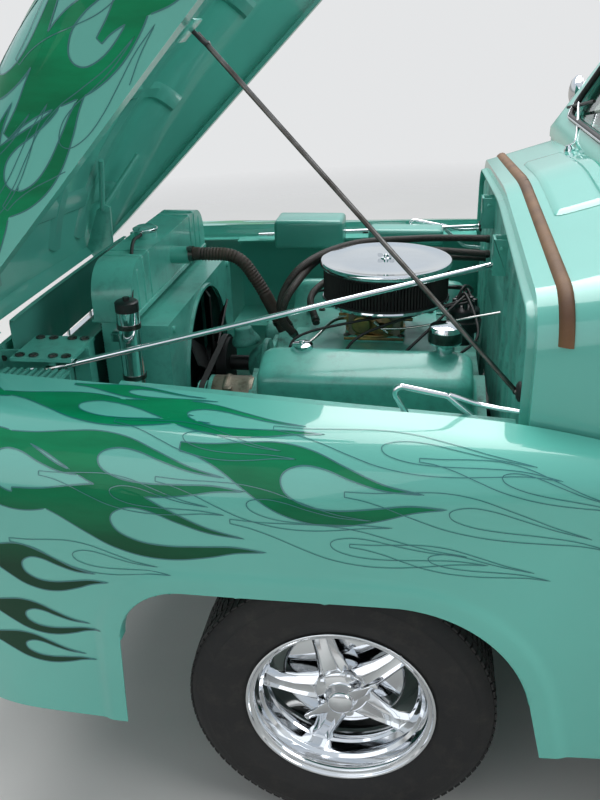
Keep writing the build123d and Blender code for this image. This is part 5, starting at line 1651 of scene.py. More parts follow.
def build_cowl_trim(paint, sizes):
    """Tan hood seal, vent lid, firewall flange, latches, springs and wipers on the cowl."""
    seal = Shape()
    for sign in (1, -1):
        rows = []
        stop = cowl_length(-392)
        for s in np.linspace(700, stop, 70):
            edge = [cowl_surface(-392 + dx, s, lift) for dx, lift in
                    ((-13, 0.2), (-11, 5), (-5, 8.5), (5, 8.5), (11, 5), (13, 0.2))]
            rows.append([Vector((p.x, p.y * sign, p.z)) for p in edge])
        seal.rows(rows, 0, ring=True, caps=True)
    seal.make("cowl_seal", ["TanSeal"], "chassis", angle=60)
    lid = Shape()
    rows = []
    for x in np.linspace(-532, -424, 14):
        half = []
        inset = 14 * (1 - math.sqrt(max(0.0, 1 - (abs(x + 478) / 54) ** 6)))
        for y in np.linspace(340 - inset, 0, 22):
            length = cowl_length(x)
            edge = min(1.0, min(340 - inset - y, 54.0 - abs(x + 478)) / 7 + 0.08)
            half.append(cowl_surface(x, length - y * 1.012, 7.0 * math.sin(edge * math.pi / 2)))
        rows.append(half + [Vector((p.x, -p.y, p.z)) for p in half[-2::-1]])
    lid.rows(rows)
    lid.make("cowl_vent_lid", ["SeafoamEnamel"], "chassis", angle=50)
    flange = Shape()
    for sign in (1, -1):
        rows = []
        for s in np.linspace(330, cowl_length(-345) - 2, 80):
            edge = [cowl_surface(x, s, lift) for x, lift in
                    ((-346, -26), (-331, -26), (-329, -28), (-331, -30), (-346, -30))]
            rows.append([Vector((p.x, p.y * sign, p.z)) for p in edge])
        flange.rows(rows, 0, ring=True, caps=True)
    for y0, y1, z0, z1 in ((-230, 230, 940, 1060), (-700, -460, 780, 1000), (470, 700, 760, 980)):
        flange.box(-345, -341, y0, y1, z0, z1)
    flange.make("firewall_flange", ["SeafoamInner"], "chassis", bevel=1.2)
    latch = Shape()
    for y in (-236, 236):
        latch.box(-345, -341, y - 34, y + 34, 1120, 1222)
        latch.box(-341, -306, y - 26, y - 22, 1130, 1216)
        latch.box(-341, -306, y + 22, y + 26, 1130, 1216)
        latch.box(-312, -306, y - 26, y + 26, 1170, 1216)
        pipe(latch, [(-324, y - 34, 1196), (-324, y + 34, 1196)], 5, 0, 12)
    latch.make("hood_latches", ["SeafoamEngine"], "chassis", bevel=1.2, slot="body_paint")
    spring = Shape()
    for y in (-236, 236):
        turns = np.arange(0, 37, 0.5)
        coil = [(-324 + 10 * math.cos(t), y - 18 + t * 1.0, 1150 + 10 * math.sin(t)) for t in turns]
        pipe(spring, coil, 1.8, 0, 8)
    for sign in (1, -1):
        line = bent([(-204, sign * 713, 1024), (-262, sign * 713, 1006), (-300, sign * 724, 1004),
                     (-343, sign * 736, 1004)], [14, 14])
        pipe(spring, line, 5.2, 0, 12)
        spring.lathe([(0, 13), (4, 13), (5, 8), (8, 8)], at(-345, sign * 736, 1004), (1, 0, 0), 20)
    spring.make("latch_springs_and_stays", ["Chrome"], "chassis", angle=50)
    wiper = Shape()
    for y in (330, -330):
        base = cowl_surface(-548, cowl_length(-548) - abs(y))
        foot = (-548, y, base.z / MM)
        wiper.lathe([(0, 15), (8, 15), (12, 11), (18, 9), (19, 3)], at(*foot), (0.2, 0, 1), 20)
        tip = (front_glass_x(1432) + 16, y - 250, 1432)
        pipe(wiper, curve_line([(foot[0], foot[1], foot[2] + 16), (-572, y - 60, foot[2] + 30), tip], 8), 3.6,
             0, 10)
    wiper.make("wiper_arms", ["Chrome"], "chassis", angle=50)
    blade = Shape()
    for y in (80, -580):
        line = [(front_glass_x(z) + 8, y + t * 300 - 150, z) for t, z in
                ((k / 10, 1404 + 46 * k / 10) for k in range(11))]
        pipe(blade, line, 5.0, 0, 8)
    blade.make("wiper_blades", ["BlackRubber"], "chassis", angle=50)


def build_cab_trim(paint, sizes):
    """Window rubbers, bright trim, drip rail, door handles, mirrors and inner door panels."""
    rubber = Shape()
    for outline, depth, push in ((WINDSHIELD, front_glass_x, 1), (BACK_LIGHT, back_glass_x, -1)):
        line = [(depth(z) + push * 1, y, z) for y, z in rounded(*outline, 12.0)]
        pipe(rubber, line + line[:2], 10.0, 0, 12)
    rubber.make("glass_rubbers", ["BlackRubber"], "chassis", angle=60)
    bright = Shape()
    for outline, depth, push in ((WINDSHIELD, front_glass_x, 1), (BACK_LIGHT, back_glass_x, -1)):
        line = [(depth(z) + push * 9, y, z) for y, z in rounded(*outline, 12.0)]
        pipe(bright, line + line[:2], 3.4, 0, 10)
    bright.make("glass_bright_trim", ["Chrome"], "chassis", angle=60)
    rail = Shape()
    plan = rounded([(-798, 692), (-1667, 692), (-1667, -692), (-798, -692)], [112, 152, 152, 112], 20.0)
    line = [(x, y, 1763) for x, y in plan]
    pipe(rail, line + line[:2], 6.0, 0, 10)
    rail.make("drip_rail", ["SeafoamEnamel"], "chassis", angle=60)
    for sign, side in SIDES:
        body = "door_" + side
        seal = Shape()
        line = [(x, sign * (cab_side(z) - 1), z) for x, z in rounded(*WINDOW, 12.0)]
        pipe(seal, line + line[:2], 8.0, 0, 12)
        line = [(x, sign * (cab_side(z) - 44), z) for x, z in rounded(*WINDOW, 12.0)]
        pipe(seal, line + line[:2], 7.0, 0, 10)
        seal.make(body + "_window_rubber", ["BlackRubber"], body, angle=60)
        handle = Shape()
        pipe(handle, curve_line([(-1432, sign * 880, 1146), (-1424, sign * 912, 1150),
                                 (-1380, sign * 916, 1151),
                                 (-1322, sign * 912, 1152), (-1308, sign * 878, 1152)], 6), 8.5, 0, 14)
        for x in (-1432, -1308):
            handle.lathe([(-10, 17), (5, 17), (8, 13), (9, 4)], at(x, sign * cab_side(1150), 1149),
                         (0, sign, 0), 24)
        pipe(handle, [(-690, sign * 862, 1342), (-660, sign * 898, 1394), (-648, sign * 900, 1420)], 5.5, 0,
             12)
        handle.lathe([(0, 52), (3, 55), (14, 54), (28, 40), (34, 20), (35, 2)], at(-652, sign * 896, 1436),
                     (1, 0, 0), 40)
        pipe(handle, [(-690, sign * (cab_side(1350) - 2), 1352), (-1436, sign * (cab_side(1350) - 2), 1352)],
             4.5, 0, 10)
        handle.make(body + "_chrome", ["Chrome"], body, angle=50)
        glass = Shape().lathe([(-1.5, 51), (0.4, 51)], at(-652, sign * 896, 1436), (1, 0, 0), 40)
        glass.make(body + "_mirror_glass", ["WornChrome"], body, angle=40)
        inner = Shape()
        y = sign * (cab_side(1100) - 48)
        a, b = sorted((y, y + sign * 5))
        inner.box(-1400, -680, a, b, 560, 1250)
        inner.make(body + "_inner_panel", ["SeatVinyl"], body, bevel=2.2)
        fittings = Shape()
        y = sign * (cab_side(1100) - 50)
        for x, z, r in ((-1180, 1120, 20), (-1320, 1180, 16)):
            fittings.lathe([(-2, r), (5, r), (9, r * 0.5), (14, 7)], at(x, y, z), (0, -sign, 0), 24)
        pipe(fittings, [(-1180, y - sign * 14, 1120), (-1178, y - sign * 22, 1060)], 6, 0, 12)
        pipe(fittings, [(-1178, y - sign * 18, 1060), (-1178, y - sign * 44, 1058)], 9, 0, 14)
        pipe(fittings, [(-1320, y - sign * 14, 1180), (-1240, y - sign * 18, 1182)], 6, 0, 12)
        fittings.make(body + "_inner_fittings", ["Chrome"], body, angle=50)


def build_cab_inside(paint, sizes):
    """Gauges, knobs, pedals, levers, carpet, headliner and inside mirror."""
    face_x = lambda z: -700 - (z - 1070) * 30 / 140
    aim = Vector((-140, 0, -30)).normalized()
    rims, faces, hands = Shape(), Shape(), Shape()
    for y, z, r in ((370, 1150, 58), (230, 1146, 30), (150, 1146, 30)):
        spot = at(face_x(z) - 2, y, z)
        rims.lathe([(-2, r + 4), (5, r + 4), (8, r), (5, r - 4), (2, r - 5)], spot, aim, 40)
        faces.lathe([(0, r - 4), (2.4, r - 4)], spot, aim, 40)
        turn = Matrix.Rotation(math.radians(40 + y), 3, aim)
        tip = spot + turn @ Vector((0, 0, 1)).cross(aim).normalized() * (r - 12) * MM
        a = (spot + aim * 0.0036 - at(0, 0, 0)) / MM
        b = (tip + aim * 0.0036 - at(0, 0, 0)) / MM
        pipe(hands, [tuple(a), tuple(b)], 1.3, 0, 6)
    for y in (560, 40, -40):
        spot = at(face_x(1130) - 1, y, 1130)
        rims.lathe([(0, 9), (10, 7), (14, 12), (22, 13), (25, 8)], spot, aim, 24)
    rims.box(face_x(1110) - 3, face_x(1110) + 6, -620, -260, 1090, 1094)
    rims.box(face_x(1200) - 3, face_x(1200) + 6, -620, -260, 1196, 1200)
    rims.lathe([(0, 12), (6, 12), (16, 7), (17, 3)], at(face_x(1190) - 1, -440, 1186), aim, 24)
    rims.make("gauge_rims_and_knobs", ["Chrome"], "chassis", angle=45)
    faces.make("gauge_faces", ["GaugeFace"], "chassis", angle=40)
    hands.make("gauge_hands", ["RedLens"], "chassis", angle=40)
    pads = Shape()
    for y, x, z, w, h in ((300, -500, 640, 34, 52), (400, -500, 640, 34, 52), (214, -480, 600, 26, 90)):
        low = len(pads.points)
        pads.box(x - 5, x + 5, y - w, y + w, z - h / 2, z + h / 2)
        pads.turned(at(x, y, z), "Y", 30, low)
    pads.make("pedal_pads", ["BlackRubber"], "chassis", bevel=2.5)
    arms = Shape()
    for y in (300, 400):
        pipe(arms, curve_line([(-494, y, 640), (-470, y, 570), (-440, y, 503)], 6), 7, 0, 12)
    pipe(arms, curve_line([(-700, 0, 502), (-716, 0, 640), (-760, 20, 800), (-790, 30, 866)], 8), 7.5, 0, 14)
    pipe(arms, curve_line([(-884, 330, 1116), (-880, 260, 1140), (-876, 214, 1150)], 6), 5, 0, 10)
    arms.make("pedal_arms_and_levers", ["Chrome"], "chassis", angle=50)
    ball = Shape()
    ball.lathe([(-24, 4), (-20, 14), (-8, 23), (6, 24), (18, 16), (24, 2)], at(-796, 32, 884), (-0.3, 0.1, 1),
               28)
    ball.lathe([(-14, 3), (-8, 11), (4, 12), (12, 4)], at(-876, 206, 1152), (0, -1, 0), 20)
    ball.lathe([(0, 66), (20, 52), (50, 42), (70, 22), (74, 8)], at(-700, 0, 501), (0, 0, 1), 32)
    ball.make("lever_knobs_and_boot", ["BlackPlastic"], "chassis", angle=60, slot="wheel_black")
    rug = Shape()
    rows = []
    for x in np.linspace(-1076, -566, 60):
        rows.append([at(x, y, 501.2 + 1.6 * math.sin(x * 0.11) * math.sin(y * 0.09))
                     for y in np.linspace(-780, 780, 90)])
    rug.rows(rows)
    rug.make("floor_carpet", ["Carpet"], "chassis", wall=0.9, outward=False, angle=60)
    roof = Shape()
    rows = []
    for x in np.linspace(-1590, -880, 50):
        rows.append([at(x, y, 1737 - 4 * abs(math.sin((x + 1590) * math.pi / 177)) * (1 - (y / 600) ** 4))
                     for y in np.linspace(600, -600, 40)])
    roof.rows(rows)
    roof.make("headliner", ["Headliner"], "chassis", wall=1.5, outward=False, angle=60)
    view = Shape()
    view.box(-850, -842, -90, 90, 1640, 1690)
    pipe(view, [(-842, 0, 1670), (-800, 0, 1716)], 5, 0, 10)
    view.make("inside_mirror", ["Chrome"], "chassis", bevel=3.5, steps=3)


PAD_VOXEL = 0.011
PAD_SQUEEZE = 0.007
PAD_CAP = 24.0
PAD_PRESSURE = 4.0
PAD_FRAMES = 20
CHANNELS = 16
CHANNEL_DEPTH = 0.010
CHANNEL_WIDTH = 0.009


def pad(node, squeeze, cap, pressure):
    """A padded copy of a CAD cushion, swollen by a cloth simulation and kept near its solid."""
    low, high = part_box(node)
    heart = (low + high) / 2
    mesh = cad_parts[node].data.copy()
    base = put("pad", mesh)
    for vertex in mesh.vertices:
        for k in range(3):
            span = (high[k] - low[k]) / 2
            vertex.co[k] = heart[k] + (vertex.co[k] - heart[k]) * (1 - squeeze / span)
    remesh = base.modifiers.new("even", "REMESH")
    remesh.mode, remesh.voxel_size, remesh.use_smooth_shade = "VOXEL", PAD_VOXEL, True
    even = applied(base)
    pad_ = put("pad", even)
    still = np.array([v.co[:] for v in even.vertices])
    cloth = pad_.modifiers.new("swell", "CLOTH")
    cloth.settings.use_pressure = True
    cloth.settings.uniform_pressure_force = pressure
    cloth.settings.effector_weights.gravity = 0.0
    cloth.settings.quality = 4
    cloth.point_cache.frame_start, cloth.point_cache.frame_end = 1, PAD_FRAMES
    for frame_now in range(1, PAD_FRAMES + 1):
        bpy.context.scene.frame_set(frame_now)
    swollen = bpy.data.meshes.new_from_object(pad_.evaluated_get(bpy.context.evaluated_depsgraph_get()))
    moved = np.array([v.co[:] for v in swollen.vertices])
    bpy.context.scene.frame_set(1)
    away = moved - still
    reach = np.linalg.norm(away, axis=1, keepdims=True)
    away *= np.minimum(1.0, cap * MM / np.maximum(reach, 1e-9))
    still = still + away
    bpy.data.objects.remove(pad_)
    return even, still, low, high


def seam(points, way, low, high):
    """The line on a cushion, from side to side, that lies furthest along way."""
    line = []
    for y in np.linspace(low.y + 0.04, high.y - 0.04, 60):
        near = points[np.abs(points[:, 1] - y) < 0.007]
        line.append(near[np.argmax(near @ np.array(way))])
    line = np.array(line)
    for _ in range(6):
        line[1:-1] = (line[:-2] + line[1:-1] * 2 + line[2:]) / 4
    return [((p[0] - FRONT_AXLE) / MM, p[1] / MM, p[2] / MM) for p in line]


def build_seat(paint, sizes):
    """Bench seat with sewn channels and piping."""
    cord = Shape()
    for node, name, across, edges in (
        ("seat_cushion", "bench_cushion", 2, ((1, 0, 1), (1, 0, -1), (-1, 0, 1))),
        ("seat_back", "bench_back", 0, ((1, 0, 1), (-1, 0, 1))),
    ):
        mesh, points, low, high = pad(node, PAD_SQUEEZE, PAD_CAP, PAD_PRESSURE)
        mesh.vertices.foreach_set("co", points.ravel())
        mesh.update()
        base = put("pad", mesh)
        soft = base.modifiers.new("soft", "SUBSURF")
        soft.levels = soft.render_levels = 1
        done = applied(base)
        points = np.array([v.co[:] for v in done.vertices])
        pitch = (high.y - low.y) / CHANNELS
        along = (points[:, 1] - low.y) / pitch
        dip = np.exp(-((along - np.round(along)) * pitch / CHANNEL_WIDTH) ** 2) * CHANNEL_DEPTH
        edge = np.clip(np.minimum(points[:, 1] - low.y, high.y - points[:, 1]) / 0.05, 0, 1)
        front = np.clip((points[:, across] - high[across] + 0.07) / 0.05, 0, 1)
        points[:, across] -= dip * front * edge
        for k in range(3):
            points[:, k] = np.clip(points[:, k], low[k] + 0.0006, high[k] - 0.0006)
        done.vertices.foreach_set("co", points.ravel())
        done.update()
        for way in edges:
            inner = [(x - way[0] * 1.5, y, z - way[2] * 1.5) for x, y, z in seam(points, way, low, high)]
            pipe(cord, inner, 3.8, 0, 10)
        made = settle(name, done, ["SeatVinyl"], "chassis", 180, [node])
    cord.make("seat_piping", ["SeatPiping"], "chassis", angle=60)


BED_FLOOR = 640
PLANK_PITCH = 149
FIRST_STRIP = -444.5
STRIPS = 7
BOX_BACK = -3738
GATE_FACE = -3784
GATE_PANEL = (-560, 560, 690, 1000)
GATE_FRAME = 26
TAIL_LAMP = (-3730, 700, 800)
HEADLAMP = (868, 700, 765)
PARKING_LAMP = (884, 640, 590)
GRILLE_BARS = 5
GRILLE_PITCH = 59


def build_box(paint, sizes):
    """Oak planks, strips and bolts, top rails, side ribs and tailgate detail of the load box."""
    plank = Shape()
    line = rounded([(-3736, 0), (-1842, 0), (-1842, 8), (-3736, 8)], [0, 0, 3, 3], 2.0)
    plank.prism([(x, z) for x, z in line], lambda u, v, w: at(u, w, BED_FLOOR + v), -592, -449)
    row("bed_planks", plank, STRIPS + 1, (0, PLANK_PITCH, 0), "BedOak", "chassis")
    strip = Shape().box(BOX_BACK, -1841, FIRST_STRIP - 2.5, FIRST_STRIP + 2.5, BED_FLOOR + 1, BED_FLOOR + 11)
    row("bed_strips", strip, STRIPS, (0, PLANK_PITCH, 0), "Chrome", "chassis")
    spots = [((x, FIRST_STRIP + PLANK_PITCH * k, BED_FLOOR + 11.5), (0, 0, 1))
             for k in range(STRIPS) for x in range(-3690, -1860, 260)]
    bolts("bed_strip_bolts", spots, 4.5, 2.0, "Chrome", "chassis", sides=12)
    rails = Shape()
    for sign in (1, -1):
        line = rounded([(612, 1062), (658, 1062), (658, 1092), (612, 1092)], [4, 12, 12, 12], 4.0)
        rails.prism(line, lambda u, v, w: at(w, sign * u, v), BOX_BACK, -1802)
        for x in (-1860, -2240, -2700, -3160, -3640):
            a, b = sorted((sign * 640, sign * 654))
            rails.box(x - 32, x + 32, a, b, 612, 1064)
        for z in (700, 900):
            pipe(rails, [(-3736, sign * 641, z), (-1804, sign * 641, z)], 8, 0, 12)
    rails.box(-1812, -1796, -648, 648, 1060, 1092)
    rails.make("box_rails_and_ribs", ["SeafoamEnamel"], "chassis", bevel=2.0, angle=40)
    gate = Shape()
    y0, y1, z0, z1 = GATE_PANEL
    line = rounded([(y0, z0), (y1, z0), (y1, z1), (y0, z1)], [40] * 4, 8.0)
    y0, y1, z0, z1 = y0 + GATE_FRAME, y1 - GATE_FRAME, z0 + GATE_FRAME, z1 - GATE_FRAME
    inner = rounded([(y0, z0), (y1, z0), (y1, z1), (y0, z1)], [24] * 4, 4.8)
    count = min(len(line), len(inner))
    line, inner = line[:count], inner[:count]
    between = [((y + b[0]) / 2, (z + b[1]) / 2) for (y, z), b in zip(line, inner)]
    gate.rows([[at(GATE_FACE + out, y, z) for y, z in loop]
               for out, loop in ((0.5, line), (-7, between), (-0.5, inner))], 0, ring=True)
    for z in (1040, 650):
        pipe(gate, [(GATE_FACE - 1, -600, z), (GATE_FACE - 1, 600, z)], 9, 0, 14)
    pipe(gate, [(-3764, -640, 1082), (-3764, 640, 1082)], 14, 0, 16)
    gate.make("tailgate_pressing", ["SeafoamEnamel"], "tailgate", angle=50)
    fittings = Shape()
    for sign in (1, -1):
        fittings.lathe([(0, 12), (10, 12), (14, 20), (18, 20), (20, 10)], at(-3764, sign * 622, 1000),
                       (-1, 0, 0), 20)
        fittings.box(-3788, -3742, min(sign * 600, sign * 638), max(sign * 600, sign * 638), 985, 1015)
    fittings.make("tailgate_catches", ["Chrome"], "tailgate", bevel=1.0, angle=40)


def build_rear(paint, sizes):
    """Tail lamps, fuel cap, fender beads, and the ribs and trim of the running boards."""
    cans = Shape()
    lens = Shape()
    for sign in (1, -1):
        x, y, z = TAIL_LAMP
        spot = at(x, sign * y, z)
        cans.lathe([(-72, 10), (-66, 36), (-40, 45.5), (-4, 46), (3, 46), (5, 43), (3, 40), (-2, 40)], spot,
                   (-1, 0, 0), 44)
        lens.lathe([(-4, 40), (2, 39), (8, 30), (10, 16), (10.5, 2)], spot, (-1, 0, 0), 40)
        cans.box(-3700, -3680, *sorted((sign * 640, sign * 662)), 780, 820)
    cans.make("tail_lamp_cans", ["Chrome"], "chassis", angle=45, replaces=["tail_lamps"])
    lens.make("tail_lamp_lenses", ["RedLens"], "chassis", angle=60)
    beads = Shape()
    arch = rounded([(-2394, 345), (-2409, 705), (-3179, 705), (-3214, 345)], [0, 300, 300, 0], 14.0,
                   closed=False)
    for sign in (1, -1):
        pipe(beads, [(x, sign * 951, z) for x, z in arch], 6.5, 0, 12)
    beads.make("rear_arch_beads", ["SeafoamEnamel"], "chassis", angle=60)
    filler = Shape()
    filler.lathe([(-10, 32), (6, 32), (9, 36), (16, 36), (19, 30), (20, 4)],
                 at(-1690, cab_side(1180) - 4, 1180),
                 (0, 1, 0), 36)
    filler.make("fuel_cap", ["Chrome"], "chassis", angle=45)
    for sign, side in SIDES:
        treads = Shape().box(-2320, -570, *sorted((sign * 716, sign * 722)), 340, 343.5)
        row("running_board_ribs_" + side, treads, 14, (0, sign * 16, 0), "BlackRubber", "chassis")
    edge = Shape()
    for sign in (1, -1):
        pipe(edge, [(-2326, sign * 944, 333), (-562, sign * 944, 333)], 6, 0, 12)
    edge.make("running_board_trim", ["Chrome"], "chassis", angle=60)


def build_face(paint, sizes):
    """Grille bar noses, headlamp rings, glasses and bowls, and parking lamps."""
    bars = Shape()
    for index in range(GRILLE_BARS):
        z = 605 + index * GRILLE_PITCH
        line = rounded([(896, z - 9), (908, z - 8), (912, z), (908, z + 8), (896, z + 9)], [0, 4, 6, 4, 0],
                       3.0)
        bars.prism(line, lambda u, v, w: at(u, w, v), -522, 522)
    for y in (-350, -175, 0, 175, 350):
        bars.box(888, 894, y - 5, y + 5, 575, 872)
    bars.make("grille_bar_noses", ["Chrome"], "chassis", bevel=0.8, angle=40)
    rings, lens, bowl = Shape(), Shape(), Shape()
    for sign in (1, -1):
        x, y, z = HEADLAMP
        spot = at(x, sign * y, z)
        rings.lathe([(16, 108.5), (30, 109), (38, 104), (41, 96), (39, 88), (34, 85)], spot, (1, 0, 0), 64,
                    caps=False)
        lens.lathe([(30, 84), (33, 70), (36, 48), (38, 24), (38.6, 1)], spot, (1, 0, 0), 56, caps=False)
        bowl.lathe([(12, 83), (0, 66), (-14, 40), (-20, 14), (-20, 8), (0, 7), (4, 1)], spot, (1, 0, 0), 48,
                   caps=False)
    rings.make("headlamp_rings", ["Chrome"], "chassis", wall=1.2, angle=45)
    lens.make("headlamp_glasses", ["LampGlass"], "chassis", wall=1.6, outward=False, angle=60,
              replaces=["headlamp_lenses"])
    bowl.make("headlamp_bowls", ["Chrome"], "chassis", wall=1.0, outward=False, angle=50)
    park, amber = Shape(), Shape()
    for sign in (1, -1):
        x, y, z = PARKING_LAMP
        spot = at(x, sign * y, z)
        park.lathe([(0, 34), (14, 34), (17, 30), (15, 27)], spot, (1, 0, 0), 36, caps=False)
        amber.lathe([(6, 28), (15, 26), (20, 16), (21, 2)], spot, (1, 0, 0), 32)
    park.make("parking_lamp_rings", ["Chrome"], "chassis", wall=1.0, angle=45)
    amber.make("parking_lamp_lenses", ["AmberLens"], "chassis", angle=60)


PAN_BACK = 716
PAN_FRONT = 862
NOSE_X = 844
FIREWALL_X = -341.4
FIREWALL_HALF = 716


def build_front_panels(paint, sizes):
    """Panels between the radiator, the grille and the fenders, and the firewall's face."""
    panel = Shape()
    rows = []
    for x in np.linspace(PAN_BACK, PAN_FRONT, 12):
        outer = 640 - (x - PAN_BACK) * 0.16
        z = 872 + 3 * math.sin((x - PAN_BACK) / (PAN_FRONT - PAN_BACK) * math.pi)
        rows.append([at(x, y, z) for y in np.linspace(outer, -outer, 24)])
    panel.rows(rows)
    panel.make("front_baffles", ["SeafoamInner"], "chassis", wall=1.6, outward=False, bevel=0.8)
    upright = Shape()
    for y0, y1 in ((-418, 418), (484, 558), (-558, -484)):
        count = max(6, int((y1 - y0) / 8))
        rows = []
        for y in np.linspace(y0, y1, count):
            dent = 3.5 * max(0.0, math.sin((y - y0) / 105 * math.pi)) ** 0.5 if y1 - y0 > 200 else 0.0
            top = 1052 - (abs(y) / 620) ** 4 * 22
            section = ((832, top - 2), (842, top), (NOSE_X, top - 8), (NOSE_X - dent, top - 24),
                       (NOSE_X - dent, 930), (NOSE_X, 914), (NOSE_X, 906))
            rows.append([at(x, y, z) for x, z in section])
        upright.rows(rows)
    upright.make("nose_baffle", ["SeafoamInner"], "chassis", wall=1.6, outward=False, angle=40)
    face = Shape()
    rows = []
    for y in np.linspace(-FIREWALL_HALF, FIREWALL_HALF, 240):
        fold = 5.0 * max(0.0, math.sin(y / 62 * math.pi)) ** 0.4 if 250 < abs(y) < 690 else 0.0
        top = 1196 + (1 - (y / FIREWALL_HALF) ** 2) * 40 - 26 * (abs(y) / FIREWALL_HALF) ** 8
        low = 700 if abs(y) < 220 else 560
        section = ((-342.0, top), (FIREWALL_X, top - 12), (FIREWALL_X + fold, top - 40),
                   (FIREWALL_X + fold, low + 30), (FIREWALL_X, low + 8), (-342.0, low))
        rows.append([at(x, y, z) for x, z in section])
    face.rows(rows)
    face.make("firewall_face", ["SeafoamCast"], "chassis", wall=1.4, angle=35)


def build_under(paint, sizes):
    """Rear spring detail, chassis bolts, exhaust tips and clamps, and tank straps."""
    metal = Shape()
    for sign in (1, -1):
        for drop in (1, 2, 3):
            reach = 560 - 140 * drop
            rows = []
            for k in range(17):
                u = -1 + k / 8
                z = 283 + 70 * (u * reach / 620) ** 2 - 8.5 * drop - 4
                rows.append([at(-2794 + u * reach, sign * y, z + dz) for y, dz in
                             ((452, 0), (503, 0), (503, 7), (452, 7))])
            metal.rows(rows, 0, ring=True, caps=True)
        for x in (-2852, -2736):
            for y in (448, 508):
                pipe(metal, [(x, sign * y, 236), (x, sign * y, 388)], 6.5, 0, 12)
            pipe(metal, [(x, sign * 448, 386), (x, sign * 508, 386)], 6.5, 0, 12)
        metal.box(-2870, -2718, *sorted((sign * 442, sign * 514)), 240, 250)
        pipe(metal, [(-2700, sign * 400, 330), (-2420, sign * 404, 560)], 20, 0, 18)
        pipe(metal, [(-60, sign * 470, 262), (-60, sign * 442, 440)], 18, 0, 18)
    metal.lathe([(-4, 128), (4, 128)], at(-2794, 0, 335), (1, 0, 0), 40)
    metal.lathe([(-100, 34), (-92, 48), (-60, 48), (-50, 34)], at(-2640, 0, 336), (1, 0, 0), 28)
    metal.make("rear_springs_detail", ["FrameBlack"], "chassis", bevel=1.0, angle=40)
    heads = []
    for k in range(10):
        turn = 2 * math.pi * k / 10
        heads.append(((-2915, 100 * math.cos(turn), 335 + 100 * math.sin(turn)), (-1, 0, 0)))
    for sign in (1, -1):
        for x in range(-3600, 700, 420):
            z = 420 if x > -2100 else 520
            heads.append(((x, sign * 431.5, z), (0, sign, 0)))
    bolts("chassis_bolts", heads, 9.0, 7.0, "DarkSteel", "chassis")
    tips = Shape()
    for sign in (1, -1):
        tips.lathe([(0, 26), (0, 30), (120, 32), (124, 30), (120, 27), (60, 26)], at(-3600, sign * 270, 262),
                   (-1, 0, 0), 32)
        for x in (-1500, -1950, -1160, -3070):
            tips.lathe([(-10, 27), (-10, 30), (10, 30), (10, 27)], at(x, sign * 270, 262), (1, 0, 0), 28)
    tips.make("exhaust_tips_and_clamps", ["Chrome"], "chassis", angle=45, slot="exhaust_steel")
    tank = Shape()
    for x in (-3520, -3260):
        tank.box(x - 16, x + 16, -372, 372, 376, 382)
        tank.box(x - 16, x + 16, -373, -369, 378, 562)
        tank.box(x - 16, x + 16, 369, 373, 378, 562)
    tank.make("tank_straps", ["DarkSteel"], "chassis", bevel=1.0)


FLOOR_HALF = 30
FLOOR_FADE = (3.4, 8.5)
LAMPS = (
    ("key", (1.9, -2.2, 5.6), 5.0, 370.0),
    ("fill", (3.6, 4.6, 3.0), 4.0, 45.0),
    ("rear", (-4.5, 2.5, 4.6), 3.5, 170.0),
)
LAMPS_AIM = (0.6, 0, 0.7)
SKY = (
    (0.0, (0.42, 0.41, 0.39, 1)), (0.47, (0.5, 0.49, 0.47, 1)), (0.5, (0.32, 0.34, 0.34, 1)),
    (0.56, (0.74, 0.78, 0.8, 1)), (0.75, (0.62, 0.7, 0.78, 1)), (1.0, (0.86, 0.9, 0.95, 1)),
)
BACKDROP = (0.78, 0.79, 0.8, 1)
SOFT_SKY = 0.34
PHOTO_FOCAL = 828.6
PHOTO_HEIGHT = 800
SENSOR = 36
CAMERA_PLACE = (1.310, 2.198, 1.702)
CAMERA_YAW = math.radians(8.80)
CAMERA_PITCH = math.radians(24.99)
CAMERA_ROLL = math.radians(-1.654)


def build_stage(paint, sizes):
    """Plain pale floor, soft studio light and the camera at the photographed angle."""
    floor = bpy.data.objects.new("floor", bpy.data.meshes.new("floor"))
    corners = [(x * FLOOR_HALF, y * FLOOR_HALF, 0) for x, y in ((-1, -1), (1, -1), (1, 1), (-1, 1))]
    floor.data.from_pydata(corners, [], [(0, 1, 2, 3)])
    ground = Finish("PaleFloor", Roughness=0.9)
    away = (ground.axis(0) * ground.axis(0) + ground.axis(1) * ground.axis(1)) ** 0.5
    ground.feed("Alpha", away.fit(*FLOOR_FADE, 1.0, 0.0))
    ground.feed("Base Color", ground.mix(ground.noise(1.5, 4.0).fit(0.3, 0.7), srgb(224, 223, 220),
                                         srgb(217, 216, 213)))
    floor.data.materials.append(ground.material)
    bpy.context.scene.collection.objects.link(floor)
    for name, place, size, power in LAMPS:
        lamp = bpy.data.lights.new(name, "AREA")
        lamp.size, lamp.energy = size, power
        shown = put(name, lamp)
        shown.location = place
        shown.rotation_euler = (Vector(LAMPS_AIM) - Vector(place)).to_track_quat("-Z", "Y").to_euler()
    build_sky()
    build_camera()
    bpy.context.scene.view_settings.view_transform = "Standard"


